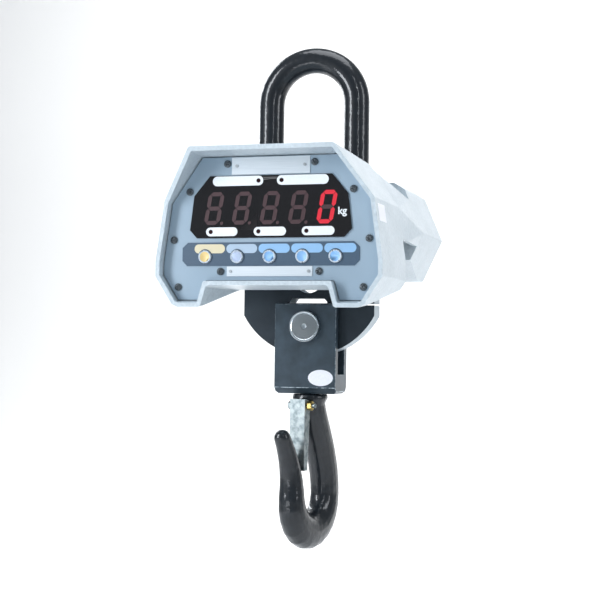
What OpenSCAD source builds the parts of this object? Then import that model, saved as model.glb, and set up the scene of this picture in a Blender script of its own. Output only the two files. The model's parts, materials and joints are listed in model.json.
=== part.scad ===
// Crane scale: a shackle on top, a disc-shaped load cell in the middle with the display
// housing in front of it and the battery box behind it, and a swivel hook below.
// +Z is up, -Y is the side with the display, +X is to the right of someone reading it.
// The origin is the seat inside the shackle's bow, where a crane's hook bears.

/* [Shackle] */
// Thickness of the shackle's round bar
bar_d = 32; // [26:0.5:36]
// Clear width between the shackle's legs
shackle_gap = 80; // [76:0.5:90]
// From the centre of the bow down to the shackle pin
leg_len = 101; // [90:1:120]
// Outside diameter of the eyes at the ends of the legs
eye_d = 48; // [44:0.5:50]
// Diameter of the shackle pin
shackle_pin_d = 22; // [18:0.5:24]

/* [Load cell] */
// Diameter of the load cell's disc
cell_d = 194; // [180:1:210]
// Width of the disc between its two side flats
cell_w = 170; // [150:1:176]
// Thickness of the disc
cell_t = 28; // [22:0.5:34]
// Distance between the upper and lower pins
pin_pitch = 121; // [112:1:124]
// Diameter of the upper and lower pins
pin_d = 25; // [20:0.5:28]
// Diameter of the round hole in the middle of the disc
cell_hole_d = 37; // [30:0.5:40]

/* [Yokes] */
// Width of the yokes across the front
yoke_w = 79; // [70:0.5:79.2]
// Thickness of each yoke cheek
cheek_t = 11; // [9:0.5:14]
// Solid height of the lower yoke below its slot
base_h = 24; // [20:0.5:30]
// From the lower pin down to the floor of the lower yoke's slot
slot_drop = 59.5; // [58:0.5:70]
// Height of the yokes past the pin, on the side of the cell
yoke_nose = 29; // [26:0.5:32]
// Diameter of the heads of the upper and lower pins
pin_head_d = 38; // [32:0.5:42]

/* [Hook] */
// Diameter of the hook's shank
shank_d = 20; // [18:0.5:22]
// Diameter of the hook's collar
collar_d = 44; // [36:1:48]
// Radius of the inside of the hook's bowl
bowl_r = 20; // [18:0.5:24]
// Thickness of the hook at the bottom of the bowl
bowl_t = 46; // [38:0.5:50]
// Turn of the hook about its shank as it hangs at rest
hook_turn = -12; // [-30:1:30]
// Width of the safety latch
latch_w = 21; // [19:0.5:24]

/* [Housing] */
// Overall width of the front housing
face_w = 272; // [256:1:300]
// Width of the front housing's flat top
roof_w = 172; // [164:1:184]
// Height of the front housing above the load cell's centre
face_top = 140; // [136:1:152]
// Depth of the feet of the front housing below the load cell's centre
foot_drop = 42; // [36:1:48]
// Wall thickness of the front housing
wall = 5; // [4:0.5:6]
// Distance from the load line to the front panel
panel_dist = 170; // [160:1:190]
// Depth of the recess in front of the panel
recess = 12; // [8:0.5:16]
// How far the sun visor stands out past the lip
visor_out = 29; // [15:1:36]
// Depth of the front housing behind the panel
front_depth = 106; // [96:1:106]
// Wall thickness of the centre cover and the battery box
rear_wall = 4; // [3:0.5:5]
// Distance from the load line to the back of the battery box
rear_dist = 155; // [140:1:180]
// Width of the battery box at its crease
rear_w = 270; // [256:1:290]

/* [Panel] */
// Thickness of the front panel
panel_t = 3; // [2:0.5:4]
// Gap between the panel and the wall around it
panel_gap = 1.2; // [0.6:0.1:2]
// Height of the digits
digit_h = 38; // [30:1:40]
// Distance from one digit to the next
digit_pitch = 34; // [30:0.5:34]
// Diameter of the buttons
button_d = 15; // [12:0.5:16]
// Distance from one button to the next
button_pitch = 39.3; // [34:0.1:40]
// Travel of a button
button_travel = 1.5; // [1:0.1:2]
// Thickness of the display window
window_t = 1.5; // [1:0.1:2]

/* [Battery] */
// Width, depth and height of the battery
battery = [151, 50, 94]; // [40:1:160]
// Width of the battery door
door_w = 176; // [168:1:190]
// Height of the battery door
door_h = 84; // [78:1:88]

/* [Hidden] */
$fn = 64;

// Fits and gaps
run_fit = 0.05;
seat_fit = 0.02;
side_gap = 1;
loose = 0.3;
screw_fit = 0.1;

// Heights on the load line
bow_r = (shackle_gap + bar_d) / 2;
bow_z = -(bow_r - bar_d / 2);
shackle_pin_z = bow_z - leg_len;
slot_w = cell_t + 2 * side_gap;
yoke_d = slot_w + 2 * cheek_t;
upper_link = 19 + cell_d / 2 - pin_pitch / 2 + 3.5;
upper_pin_z = shackle_pin_z - upper_link;
cell_z = upper_pin_z - pin_pitch / 2;
lower_pin_z = cell_z - pin_pitch / 2;
slot_floor_z = lower_pin_z - slot_drop;
yoke_base_z = slot_floor_z - base_h;
eye_x0 = shackle_gap / 2 + 1;
eye_x1 = eye_x0 + 26;
yoke_top_z = shackle_pin_z + shackle_pin_d / 2 + 10;
ring_t = 2;

// Places along Y
panel_y = -panel_dist;
lip_y = panel_y - recess;
visor_y = lip_y - visor_out;
front_back_y = panel_y + front_depth;
rear_front_y = yoke_d / 2 + 6;
rear_back_y = rear_dist;
gasket_t = 1.5;
ledge_y = panel_y + panel_t + gasket_t;
ledge_t = 7.5;

// Outlines seen from the front, heights measured from the load cell's centre
knee_z = face_top - 58.5;
knee_x = face_w / 2 - 10;
arch_z = -17;
arch_x = 73;
FACE_HALF = [[arch_x, arch_z], [arch_x + 7, -foot_drop], [face_w / 2 - 28, -foot_drop],
    [face_w / 2 - 21, -foot_drop + 3], [face_w / 2, -6.5], [face_w / 2, 11.5], [knee_x, knee_z],
    [roof_w / 2, face_top]];
CREASE_Z = 58.5;
REAR_TOP = 123.5;
REAR_BOTTOM = 3.5;
REAR_HALF = [[rear_w / 2 - 26, REAR_BOTTOM], [rear_w / 2, CREASE_Z], [rear_w / 2 - 24, REAR_TOP - 9],
    [rear_w / 2 - 38, REAR_TOP]];
NOTCH_Z = 36.5;
roof_slope = 6.5 / 147;
foot_slope = (foot_drop + arch_z) / (recess + front_depth);
rear_cover_t = 4;
battery_back_gap = 16;

// Small shapes and helpers
function unit(v) = v / norm(v);
function inward(a, b) = let (u = unit(b - a)) [-u[1], u[0]];
function both_sides(half) = concat(half, [for (i = [len(half) - 1:-1:0]) [-half[i][0], half[i][1]]]);
function corner(p, i) = let (n = len(p)) [inward(p[(i + n - 1) % n], p[i]), inward(p[i], p[(i + 1) % n])];
function inset(p, d) = [for (i = [0:len(p) - 1]) let (c = corner(p, i))
    p[i] + (c[0] + c[1]) * d / (1 + c[0] * c[1])];
function turn_of(c) = atan2(c[0][0] * c[1][1] - c[0][1] * c[1][0], c[0] * c[1]);
function spin2(v, a) = [v[0] * cos(a) - v[1] * sin(a), v[0] * sin(a) + v[1] * cos(a)];
function rounded(p, r, steps = 3) = [for (i = [0:len(p) - 1]) let (c = corner(p, i), a = turn_of(c),
    s = a > 0 ? 1 : -1, o = p[i] + s * (c[0] + c[1]) * r / (1 + c[0] * c[1]))
    for (k = [0:steps]) o - s * r * spin2(c[0], a * k / steps)];
function roof_z(y) = face_top - (y - visor_y) * roof_slope;
function foot_z(y) = -foot_drop + (y - lip_y) * foot_slope;
function mix(a, b, t) = a + (b - a) * t;

module prism_y(pts, y0, y1) {
    translate([0, y1, 0]) rotate([90, 0, 0]) linear_extrude(y1 - y0) polygon(pts);
}
module prism_x(pts, x0, x1) {
    translate([x0, 0, 0]) rotate([90, 0, 90]) linear_extrude(x1 - x0) polygon(pts);
}
module rod_y(d, y0, y1, x = 0, z = 0) {
    translate([x, y1, z]) rotate([90, 0, 0]) cylinder(d = d, h = y1 - y0);
}
module rod_x(d, x0, x1, y = 0, z = 0) {
    translate([x0, y, z]) rotate([0, 90, 0]) cylinder(d = d, h = x1 - x0);
}
module box(x0, x1, y0, y1, z0, z1) {
    translate([x0, y0, z0]) cube([x1 - x0, y1 - y0, z1 - z0]);
}
module at_cell() { translate([0, 0, cell_z]) children(); }
module each_side() { for (s = [0, 1]) mirror([s, 0, 0]) children(); }

// ---- Shackle and upper yoke ----
module shackle() color("#1d1f21") {
    eye_r = eye_d / 2;
    difference() {
        union() {
            translate([0, 0, bow_z]) rotate([90, 0, 0]) rotate_extrude(angle = 180)
                translate([bow_r, 0]) circle(d = bar_d);
            each_side() {
                translate([bow_r, 0, shackle_pin_z]) cylinder(d = bar_d, h = leg_len);
                rod_x(eye_d, eye_x0, eye_x1, 0, shackle_pin_z);
            }
        }
        each_side() {
            box(0, eye_x0, -eye_r, eye_r, shackle_pin_z - eye_r - 1, yoke_top_z + 3);
            box(eye_x1, bow_r + bar_d, -eye_r, eye_r, shackle_pin_z - eye_r - 1,
                shackle_pin_z + shackle_pin_d / 2 + 6);
        }
        rod_x(shackle_pin_d + 2 * seat_fit, -eye_x1 - 20, eye_x1 + 20, 0, shackle_pin_z);
    }
}
pin_end_x = eye_x1 + 8;
module shackle_pin() color("#b9bcc0") {
    difference() {
        union() {
            rod_x(shackle_pin_d, -eye_x1, pin_end_x, 0, shackle_pin_z);
            rod_x(shackle_pin_d + 8, -eye_x1 - 6, -eye_x1, 0, shackle_pin_z);
        }
        rod_y(3.4, -30, 30, pin_end_x - 3.2, shackle_pin_z);
    }
}
module cotter_pin() color("#d5d8da") {
    x = pin_end_x - 3.2;
    top = shackle_pin_d / 2 + 3;
    rod_y(3.2, -top, top + 3, x, shackle_pin_z);
    translate([x, -top - 1.4, shackle_pin_z]) rotate_extrude() translate([2.6, 0]) circle(d = 1.6);
}

// A yoke straddles the disc; its slot opens towards the cell and its pin runs along Y.
module yoke_blank(z_nose, z_end, chamfer) {
    low = min(z_nose, z_end);
    high = max(z_nose, z_end);
    w = yoke_w / 2;
    d = yoke_d / 2;
    c = chamfer;
    b = 1.5;
    front = z_end < z_nose ? [[-w, low + 3], [-w + 3, low], [w - 3, low], [w, low + 3], [w, high - b],
        [w - b, high], [-w + b, high], [-w, high - b]] : [[-w, low + b], [-w + b, low], [w - b, low],
        [w, low + b], [w, high - 3], [w - 3, high], [-w + 3, high], [-w, high - 3]];
    side = z_end < z_nose ? [[-d, low + c], [-d + c, low], [d - c, low], [d, low + c], [d, high - b],
        [d - b, high], [-d + b, high], [-d, high - b]] : [[-d, low + b], [-d + b, low], [d - b, low],
        [d, low + b], [d, high - c], [d - c, high], [-d + c, high], [-d, high - c]];
    intersection() {
        prism_y(front, -d - 1, d + 1);
        prism_x(side, -w - 1, w + 1);
    }
}
module upper_yoke() color("#3a444c") {
    difference() {
        yoke_blank(upper_pin_z - yoke_nose, yoke_top_z, 4);
        box(-yoke_w, yoke_w, -slot_w / 2, slot_w / 2, upper_pin_z - yoke_nose - 1,
            cell_z + cell_d / 2 + 3.5);
        rod_y(pin_d + 2 * seat_fit, -yoke_d, yoke_d, 0, upper_pin_z);
        rod_x(shackle_pin_d + 2 * run_fit, -yoke_w, yoke_w, 0, shackle_pin_z);
    }
}
module cross_pin(z) {
    difference() {
        union() {
            rod_y(pin_d, -yoke_d / 2 - 1, yoke_d / 2 + ring_t + 1.6, 0, z);
            rod_y(pin_head_d, -yoke_d / 2 - 7, -yoke_d / 2, 0, z);
        }
        difference() {
            rod_y(pin_d + 4, yoke_d / 2 + 0.1, yoke_d / 2 + 0.1 + ring_t, 0, z);
            rod_y(pin_d - 3, yoke_d / 2, yoke_d / 2 + ring_t + 1, 0, z);
        }
    }
}
module cross_pin_ring(z) {
    y = yoke_d / 2 + 0.2;
    difference() {
        rod_y(pin_d + 7, y, y + ring_t - 0.2, 0, z);
        rod_y(pin_d - 2.8, y - 1, y + ring_t + 1, 0, z);
        box(-3, 3, y - 1, y + ring_t + 1, z, z + pin_d);
    }
}
module upper_pin() color("#c4c6c8") cross_pin(upper_pin_z);
module upper_pin_ring() color("#4a4d50") cross_pin_ring(upper_pin_z);

// ---- Load cell ----
// The slots turn the disc into an S: the lower arm joins only on the left, the upper only on the right.
slot_near = 25;
slot_far = 34.5;
slot_half = 24.5;
slit_z = 32.5;
slit_h = 2;
module bending_slot(turn) {
    outline = [[-slot_half, slot_near + 5], [-slot_half + 4, slot_near], [slot_half - 4, slot_near],
        [slot_half, slot_near + 5], [slot_half, slot_far - 2], [slot_half - 2, slot_far],
        [-slot_half + 3, slot_far]];
    rotate([0, turn, 0]) {
        prism_y(outline, -cell_t, cell_t);
        box(-cell_w, 0, -cell_t, cell_t, slit_z - slit_h / 2, slit_z + slit_h / 2);
    }
}
mount_x = 60;
mount_z = 60;
bolt_d = 8;
module load_cell() color("#46525b") at_cell() {
    difference() {
        intersection() {
            rod_y(cell_d, -cell_t / 2, cell_t / 2);
            box(-cell_w / 2, cell_w / 2, -cell_t, cell_t, -cell_d, cell_d);
        }
        rod_y(cell_hole_d, -cell_t, cell_t);
        bending_slot(0);
        bending_slot(180);
        for (z = [-1, 1]) rod_y(pin_d + 2 * run_fit, -cell_t, cell_t, 0, z * pin_pitch / 2);
        for (x = [-1, 1]) {
            rod_y(bolt_d + screw_fit, -cell_t / 2 - 1, -cell_t / 2 + 11, x * mount_x, mount_z);
            rod_y(bolt_d + screw_fit, cell_t / 2 - 11, cell_t / 2 + 1, x * mount_x, mount_z);
        }
        rod_y(6, -cell_t / 2 - 1, -cell_t / 2 + 8, cell_hole_d / 2 + 12, 0);
    }
}
module strain_gauges() color("#c98a3c") at_cell() {
    r = cell_hole_d / 2;
    for (a = [45:90:315]) rotate([0, a, 0])
        box(r - 1.2, r - 0.45, -4, 4, -2.5, 2.5);
}
cable_x = cell_hole_d / 2 + 12;
module cell_cable() color("#26282a") at_cell() {
    rod_y(4, front_back_y - wall - 6, -cell_t / 2 + 7, cable_x, 0);
}

// Standoffs carry the front housing on the cell's upper arm, spacers carry the battery box.
module front_standoffs() color("#aab0b5") at_cell() {
    for (x = [-1, 1]) difference() {
        rod_y(22, front_back_y + 0.05, -cell_t / 2 - 0.05, x * mount_x, mount_z);
        rod_y(bolt_d + 0.6, front_back_y - 1, 0, x * mount_x, mount_z);
    }
}
module rear_spacers() color("#aab0b5") at_cell() {
    for (x = [-1, 1]) difference() {
        rod_y(22, cell_t / 2 + 0.05, rear_front_y - 0.05, x * mount_x, mount_z);
        rod_y(bolt_d + 0.6, 0, rear_front_y + 1, x * mount_x, mount_z);
    }
}
module hex_bolt_y(d, y_seat, y_tip, x, z) {
    dir = y_tip > y_seat ? 1 : -1;
    rod_y(d, min(y_seat, y_tip), max(y_seat, y_tip), x, z);
    translate([x, y_seat, z]) rotate([90 * dir, 0, 0]) cylinder(d = d * 1.85, h = d * 0.65, $fn = 6);
}
module front_bolts() color("#9ea3a7") at_cell() {
    for (x = [-1, 1])
        hex_bolt_y(bolt_d, front_back_y - wall - 0.05, -cell_t / 2 + 10, x * mount_x, mount_z);
}
module rear_bolts() color("#9ea3a7") at_cell() {
    for (x = [-1, 1])
        hex_bolt_y(bolt_d, rear_front_y + rear_wall + 0.05, cell_t / 2 - 10, x * mount_x, mount_z);
}

// ---- Front housing ----
FACE = both_sides(FACE_HALF);
PANEL = inset(FACE, wall + panel_gap);
LEDGE_HALF = [[98, 6], [104, 18], [104, 50], [88, 98], [62, 112]];
panel_screw_at = [[52.6, 124.2], [98.8, 92.4], [117.7, 36.3], [59.4, -0.5], [111.5, -18.5]];
front_tab = [108, 70];
rear_tab = [104, 80];
lead_x = -84;
lead_z = 72;
module front_side(out, y0, y1) {
    prism_x([[y0, foot_z(y0) - out], [y1, foot_z(y1) - out], [y1, roof_z(y1) + out],
        [y0, roof_z(y0) + out]], -face_w, face_w);
}
module front_housing() color("#c9cdcf") at_cell() {
    back_in = front_back_y - wall;
    difference() {
        intersection() {
            prism_y(rounded(FACE, 4), visor_y, front_back_y);
            front_side(0, visor_y, front_back_y);
            prism_x([[lip_y, -foot_drop - 1], [front_back_y + 1, -foot_drop - 1],
                [front_back_y + 1, face_top + 1], [visor_y, face_top + 1], [visor_y, face_top],
                [lip_y, knee_z]], -face_w, face_w);
        }
        intersection() {
            prism_y(rounded(inset(FACE, wall), 2.5), visor_y - 1, ledge_y);
            front_side(-wall, visor_y - 1, ledge_y);
        }
        prism_y(both_sides(LEDGE_HALF), ledge_y - 1, ledge_y + ledge_t + 1);
        intersection() {
            prism_y(rounded(inset(FACE, wall), 2.5), ledge_y + ledge_t, back_in);
            front_side(-wall, ledge_y, back_in);
        }
        for (x = [-1, 1]) {
            rod_y(bolt_d + 0.4, back_in - 1, front_back_y + 1, x * mount_x, mount_z);
            for (p = board_screw_at) rod_y(3 + screw_fit, board_y - 6, board_y + 1, x * p[0], p[1]);
            for (p = panel_screw_at)
                rod_y(4 + screw_fit, ledge_y - 1, ledge_y + ledge_t - 1, x * p[0], p[1]);
            rod_y(5 + screw_fit, front_back_y - 8, front_back_y + 1, x * front_tab[0], front_tab[1]);
        }
        rod_y(10.2, back_in - 1, front_back_y + 1, cable_x, 0);
        rod_y(10.2, back_in - 1, front_back_y + 1, lead_x, lead_z);
    }
}
module at_panel_screws() {
    for (x = [-1, 1], p = panel_screw_at) translate([x * p[0], 0, p[1]]) children();
}
window_half = [[88.8, 38], [97.7, 47.5], [93, 87.3], [73.8, 110.2]];
digit_z = 53.5;
digit_x0 = -80.5;
button_z = 16.5;
name_plate_z = 121.4;
rating_plate_z = -0.4;
module front_panel() color("#93aabf") at_cell() {
    difference() {
        intersection() {
            prism_y(rounded(PANEL, 2), panel_y, panel_y + panel_t);
            front_side(-wall - panel_gap, panel_y - 1, ledge_y);
        }
        box(digit_x0 - 5, -digit_x0 + 5.2, panel_y - 1, panel_y + panel_t + 1, digit_z - 4,
            digit_z + digit_h + 4);
        for (i = [-2:2])
            rod_y(button_d + 1, panel_y - 1, panel_y + panel_t + 1, i * button_pitch, button_z);
        at_panel_screws() rod_y(4.5, panel_y - 1, panel_y + panel_t + 1);
        for (p = led_at) rod_y(5, panel_y - 1, panel_y + panel_t + 1, p[0], p[1]);
        for (x = [-1, 1]) {
            rod_y(2 + screw_fit, panel_y - 1, panel_y + panel_t + 1, x * 41, name_plate_z);
            rod_y(2 + screw_fit, panel_y - 1, panel_y + panel_t + 1, x * 47, rating_plate_z);
        }
    }
}
module panel_gasket() color("#202224") at_cell() {
    y = panel_y + panel_t;
    difference() {
        intersection() {
            prism_y(rounded(inset(FACE, wall + 1.5), 2), y, y + gasket_t);
            front_side(-wall - 1.5, panel_y, ledge_y + 1);
        }
        prism_y(both_sides([for (p = LEDGE_HALF) [p[0] + 0.5, p[1]]]), y - 1, y + gasket_t + 1);
        at_panel_screws() rod_y(4.5, y - 1, y + gasket_t + 1);
    }
}
module panel_screws() color("#4b4f53") at_cell() {
    at_panel_screws() {
        rod_y(4, panel_y, ledge_y + ledge_t - 2);
        intersection() {
            rod_y(8.6, panel_y - 2.4, panel_y);
            translate([0, panel_y + 3.6, 0]) sphere(d = 13);
        }
    }
}

// ---- Display ----
led_at = [[-14.2, 104], [13.6, 104], [-71.8, 45.4], [-13.5, 45.4], [44.1, 45.4]];
module display_window() color("#15161a") at_cell() {
    difference() {
        prism_y(both_sides(window_half), panel_y - window_t, panel_y);
        for (p = led_at) rod_y(5, panel_y - 3, panel_y + 1, p[0], p[1]);
    }
}
module_y0 = panel_y + 0.3;
board_y = ledge_y + ledge_t;
board_t = 1.6;
module digit_modules() color("#2a2424") at_cell() {
    for (i = [0:4]) {
        x = digit_x0 - 4 + i * digit_pitch;
        box(x, x + digit_pitch - 0.4, module_y0, board_y, digit_z - 3, digit_z + digit_h + 3);
    }
}
board_screw_at = [[88, 104], [106, 42]];
module display_board() color("#2f6b3f") at_cell() {
    difference() {
        union() {
            box(-111, 111, board_y, board_y + board_t, 24, 60);
            box(-93, 93, board_y, board_y + board_t, 60, 110);
        }
        for (x = [-1, 1], p = board_screw_at)
            rod_y(3.4, board_y - 1, board_y + board_t + 1, x * p[0], p[1]);
    }
}
module indicator_leds() color("#7c1f22") at_cell() {
    for (p = led_at) rod_y(4.6, panel_y - window_t + 0.6, board_y, p[0], p[1]);
}

// ---- Buttons ----
strip_half = [[101, 5.8], [106.8, 12], [106.8, 27], [100, 33.1]];
strip_t = 0.8;
module button_strip() color("#56697a") at_cell() {
    difference() {
        prism_y(both_sides(strip_half), panel_y - strip_t, panel_y);
        for (i = [-2:2]) rod_y(button_d + 1, panel_y - 2, panel_y + 1, i * button_pitch, button_z);
    }
}
cap_front = panel_y - 3;
cap_back = panel_y + panel_t + 3;
module button_cap(i, tint) color(tint) at_cell() {
    x = (i - 3) * button_pitch;
    rod_y(button_d, cap_front, panel_y + panel_t + 0.6, x, button_z);
    rod_y(button_d + 3.4, panel_y + panel_t + 0.2, panel_y + panel_t + 1.8, x, button_z);
    rod_y(5, panel_y + panel_t + 1, cap_back, x, button_z);
}
module button_1() button_cap(1, "#e3cf8e");
module button_2() button_cap(2, "#b9bfd6");
module button_3() button_cap(3, "#7fb2de");
module button_4() button_cap(4, "#7fb2de");
module button_5() button_cap(5, "#5f8fce");
switch_y = cap_back + button_travel + 0.1;
module button_switches() color("#1f2123") at_cell() {
    box(-92, 92, board_y, board_y + board_t, 9, 23.5);
    for (i = [-2:2])
        box(i * button_pitch - 3, i * button_pitch + 3, switch_y, board_y, button_z - 3, button_z + 3);
    for (x = [-1, 1]) box(x * 60 - 4, x * 60 + 4, board_y + board_t, board_y + board_t + 3, 12, 26);
}

// ---- Plates ----
module name_plate() color("#dfe3e6") at_cell() {
    difference() {
        box(-47.2, 47.2, panel_y - 1, panel_y, name_plate_z - 10, name_plate_z + 10);
        for (x = [-1, 1]) rod_y(2 + screw_fit, panel_y - 2, panel_y + 1, x * 41, name_plate_z);
    }
}
module rating_plate() color("#d9dde0") at_cell() {
    difference() {
        box(-51.5, 51.5, panel_y - 0.8, panel_y, rating_plate_z - 5.7, rating_plate_z + 5.7);
        for (x = [-1, 1]) rod_y(2 + screw_fit, panel_y - 2, panel_y + 1, x * 47, rating_plate_z);
    }
}
module plate_rivets() color("#b4b8bc") at_cell() {
    for (x = [-1, 1]) {
        rod_y(2, panel_y - 1, panel_y + panel_t, x * 41, name_plate_z);
        rod_y(3.6, panel_y - 1.8, panel_y - 1, x * 41, name_plate_z);
        rod_y(2, panel_y - 0.8, panel_y + panel_t, x * 47, rating_plate_z);
        rod_y(3.6, panel_y - 1.6, panel_y - 0.8, x * 47, rating_plate_z);
    }
}

// ---- Electronics behind the display ----
main_y = board_y + 26;
board_hole = [66, 44];
module main_board() color("#2c6a45") at_cell() {
    difference() {
        union() {
            box(-75, 75, main_y, main_y + board_t, 24, 122);
            box(-60, -30, main_y - 8, main_y, 30, 60);
            box(-10, 30, main_y - 3, main_y, 60, 90);
            box(40, 62, main_y - 12, main_y, 84, 108);
        }
        for (x = [-1, 1], z = [0, 1]) rod_y(3.2, main_y - 1, main_y + 3, x * board_hole[0],
            73 + (z - 0.5) * 2 * board_hole[1]);
    }
}
module board_standoffs() color("#c2a24a") at_cell() {
    for (x = [-1, 1], z = [0, 1]) translate([x * board_hole[0], 0, 73 + (z - 0.5) * 2 * board_hole[1]])
        difference() {
            union() {
                rod_y(7, main_y + board_t, front_back_y - wall);
                rod_y(3, main_y - 0.1, main_y + board_t + 1);
                rod_y(6, main_y - 2, main_y - 0.05);
            }
            rod_y(1.2, main_y + board_t + 2, front_back_y - wall - 3);
        }
}
module wall_grommets() color("#1c1d1f") at_cell() {
    for (p = [[cable_x, 0, front_back_y - wall, wall], [lead_x, lead_z, front_back_y - wall, wall],
        [lead_x, lead_z, rear_front_y, rear_wall]]) difference() {
            union() {
                rod_y(10, p[2] - 1.5, p[2] + p[3] + 1.5, p[0], p[1]);
                rod_y(14, p[2] - 1.6, p[2] - 0.05, p[0], p[1]);
                rod_y(14, p[2] + p[3] + 0.05, p[2] + p[3] + 1.6, p[0], p[1]);
            }
            rod_y(p[1] > 1 ? 6.1 : 4.1, p[2] - 5, p[2] + p[3] + 5, p[0], p[1]);
        }
}
module power_lead() color("#232426") at_cell() {
    rod_y(6, front_back_y - wall - 8, rear_front_y + rear_wall + 8, lead_x, lead_z);
}
module board_screws() color("#a9adb1") at_cell() {
    for (x = [-1, 1], p = board_screw_at) {
        rod_y(3, board_y - 5, board_y + board_t, x * p[0], p[1]);
        rod_y(5.6, board_y + board_t, board_y + board_t + 2, x * p[0], p[1]);
    }
}

// ---- Centre cover between the two housings ----
cover_gap = 0.1;
cover_wall = 4;
roof_hole_x = pin_end_x + 9;
COVER_FRONT = [[131.5, NOTCH_Z], [126, 81.5], [88, 133]];
COVER_REAR = [[124.4, NOTCH_Z], [135, CREASE_Z], [117, 101], [89, 119.5]];
module loft(front, rear, y0, y1) {
    hull() {
        prism_y(front, y0, y0 + 0.01);
        prism_y(rear, y1 - 0.01, y1);
    }
}
module centre_cover() color("#c4c9cb") at_cell() {
    y0 = front_back_y + cover_gap;
    y1 = rear_front_y - cover_gap;
    difference() {
        union() {
            difference() {
                loft(both_sides(COVER_FRONT), both_sides(COVER_REAR), y0, y1);
                loft(inset(both_sides(COVER_FRONT), cover_wall), inset(both_sides(COVER_REAR), cover_wall),
                    y0 - 0.01, y1 + 0.01);
                box(-face_w, face_w, y0 - 1, y1 + 1, NOTCH_Z - 1, NOTCH_Z + cover_wall + 2);
                box(-roof_hole_x, roof_hole_x, -42, y1 + 1, 100, face_top);
            }
            each_side() {
                box(front_tab[0] - 8, 123, y0, y0 + 3, front_tab[1] - 9, front_tab[1] + 8);
                box(rear_tab[0] - 8, 122, y1 - 3, y1, rear_tab[1] - 9, rear_tab[1] + 4);
            }
        }
        each_side() {
            rod_y(5.5, y0 - 1, y0 + 4, front_tab[0], front_tab[1]);
            rod_y(5.5, y1 - 4, y1 + 1, rear_tab[0], rear_tab[1]);
        }
    }
}
module cover_screws() color("#8e9397") at_cell() {
    each_side() {
        rod_y(5, front_back_y - wall, front_back_y + cover_gap + 3, front_tab[0], front_tab[1]);
        rod_y(9, front_back_y + cover_gap + 3, front_back_y + cover_gap + 6, front_tab[0], front_tab[1]);
        rod_y(5, rear_front_y - cover_gap - 3, rear_front_y + rear_wall, rear_tab[0], rear_tab[1]);
        rod_y(9, rear_front_y - cover_gap - 6, rear_front_y - cover_gap - 3, rear_tab[0], rear_tab[1]);
    }
}

// ---- Battery box ----
REAR = both_sides(REAR_HALF);
rim = 2;
cover_y = rear_back_y - rim - rear_cover_t;
seal_y = cover_y - gasket_t;
rear_ledge_t = 6;
floor_front = 25.5;
floor_flat_y = 120;
REAR_SCREWS = [for (i = [0, 1, 3, 4, 6, 7]) inset(REAR, 9.5)[i]];
DOOR_OPENING = [[-82, 26], [82, 26], [82, 98], [-82, 98]];
shelf_z = 22;
rib_x = 55;
socket_at = [98.5, 38];
module rear_side(d) {
    prism_x([[rear_front_y - 1 + d, floor_front + d], [floor_flat_y, REAR_BOTTOM + d],
        [rear_back_y + 1, REAR_BOTTOM + d], [rear_back_y + 1, REAR_TOP - d],
        [rear_front_y - 1 + d, REAR_TOP - d]], -rear_w, rear_w);
}
module battery_box() color("#c9cdcf") at_cell() {
    y_in = rear_front_y + rear_wall;
    difference() {
        intersection() {
            prism_y(rounded(REAR, 4), rear_front_y, rear_back_y);
            rear_side(0);
        }
        difference() {
            intersection() {
                prism_y(rounded(inset(REAR, rear_wall), 2), y_in, rear_back_y + 1);
                rear_side(rear_wall);
            }
            difference() {
                box(-rear_w, rear_w, seal_y - rear_ledge_t, seal_y, 0, REAR_TOP);
                prism_y(inset(REAR, 14.5), seal_y - rear_ledge_t - 1, seal_y + 1);
            }
            each_side() box(rib_x, rib_x + 5, y_in - 1, seal_y, 0, shelf_z);
        }
        for (p = REAR_SCREWS) rod_y(4 + screw_fit, seal_y - rear_ledge_t + 1, seal_y + 1, p[0], p[1]);
        each_side() {
            rod_y(bolt_d + 0.4, rear_front_y - 1, y_in + 1, mount_x, mount_z);
            rod_y(5 + screw_fit, rear_front_y - 1, y_in + 1, rear_tab[0], rear_tab[1]);
        }
        rod_y(10.2, rear_front_y - 1, y_in + 1, lead_x, lead_z);
    }
}
module rear_cover_gasket() color("#202224") at_cell() {
    difference() {
        prism_y(rounded(inset(REAR, rear_wall + 0.5), 2), seal_y, cover_y);
        prism_y(inset(REAR, 14.5), seal_y - 1, cover_y + 1);
        for (p = REAR_SCREWS) rod_y(4.5, seal_y - 1, cover_y + 1, p[0], p[1]);
    }
}
door_z0 = 62 - door_h / 2;
door_y = rear_back_y - rim + 0.2;
door_t = 3;
hinge_y = door_y + 3.7;
hinge_z = door_z0 - 3;
hinge_d = 7;
hinge_pin_d = 3;
knuckle_x = 30;
module rear_cover() color("#b9bec1") at_cell() {
    y1 = cover_y + rear_cover_t;
    difference() {
        union() {
            prism_y(rounded(inset(REAR, rear_wall + 0.3), 2), cover_y, y1);
            each_side() {
                rod_x(hinge_d, knuckle_x + loose, knuckle_x + 20, hinge_y, hinge_z);
                box(knuckle_x + loose, knuckle_x + 20, y1 - 1, hinge_y, hinge_z - 3, hinge_z);
            }
        }
        prism_y(DOOR_OPENING, cover_y - 1, y1 + 1);
        for (p = REAR_SCREWS) rod_y(4.5, cover_y - 1, y1 + 1, p[0], p[1]);
        rod_x(hinge_pin_d + 2 * seat_fit, -knuckle_x - 21, knuckle_x + 21, hinge_y, hinge_z);
        rod_y(14.2, cover_y - 1, y1 + 1, socket_at[0], socket_at[1]);
        each_side() box(knuckle_x - 2, knuckle_x + 22, y1, y1 + 10, hinge_z + 2.8, hinge_z + 9);
    }
}
module rear_cover_screws() color("#4b4f53") at_cell() {
    for (p = REAR_SCREWS) {
        rod_y(4, seal_y - rear_ledge_t + 2, cover_y + rear_cover_t, p[0], p[1]);
        rod_y(8, cover_y + rear_cover_t, cover_y + rear_cover_t + 2.2, p[0], p[1]);
    }
}
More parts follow.
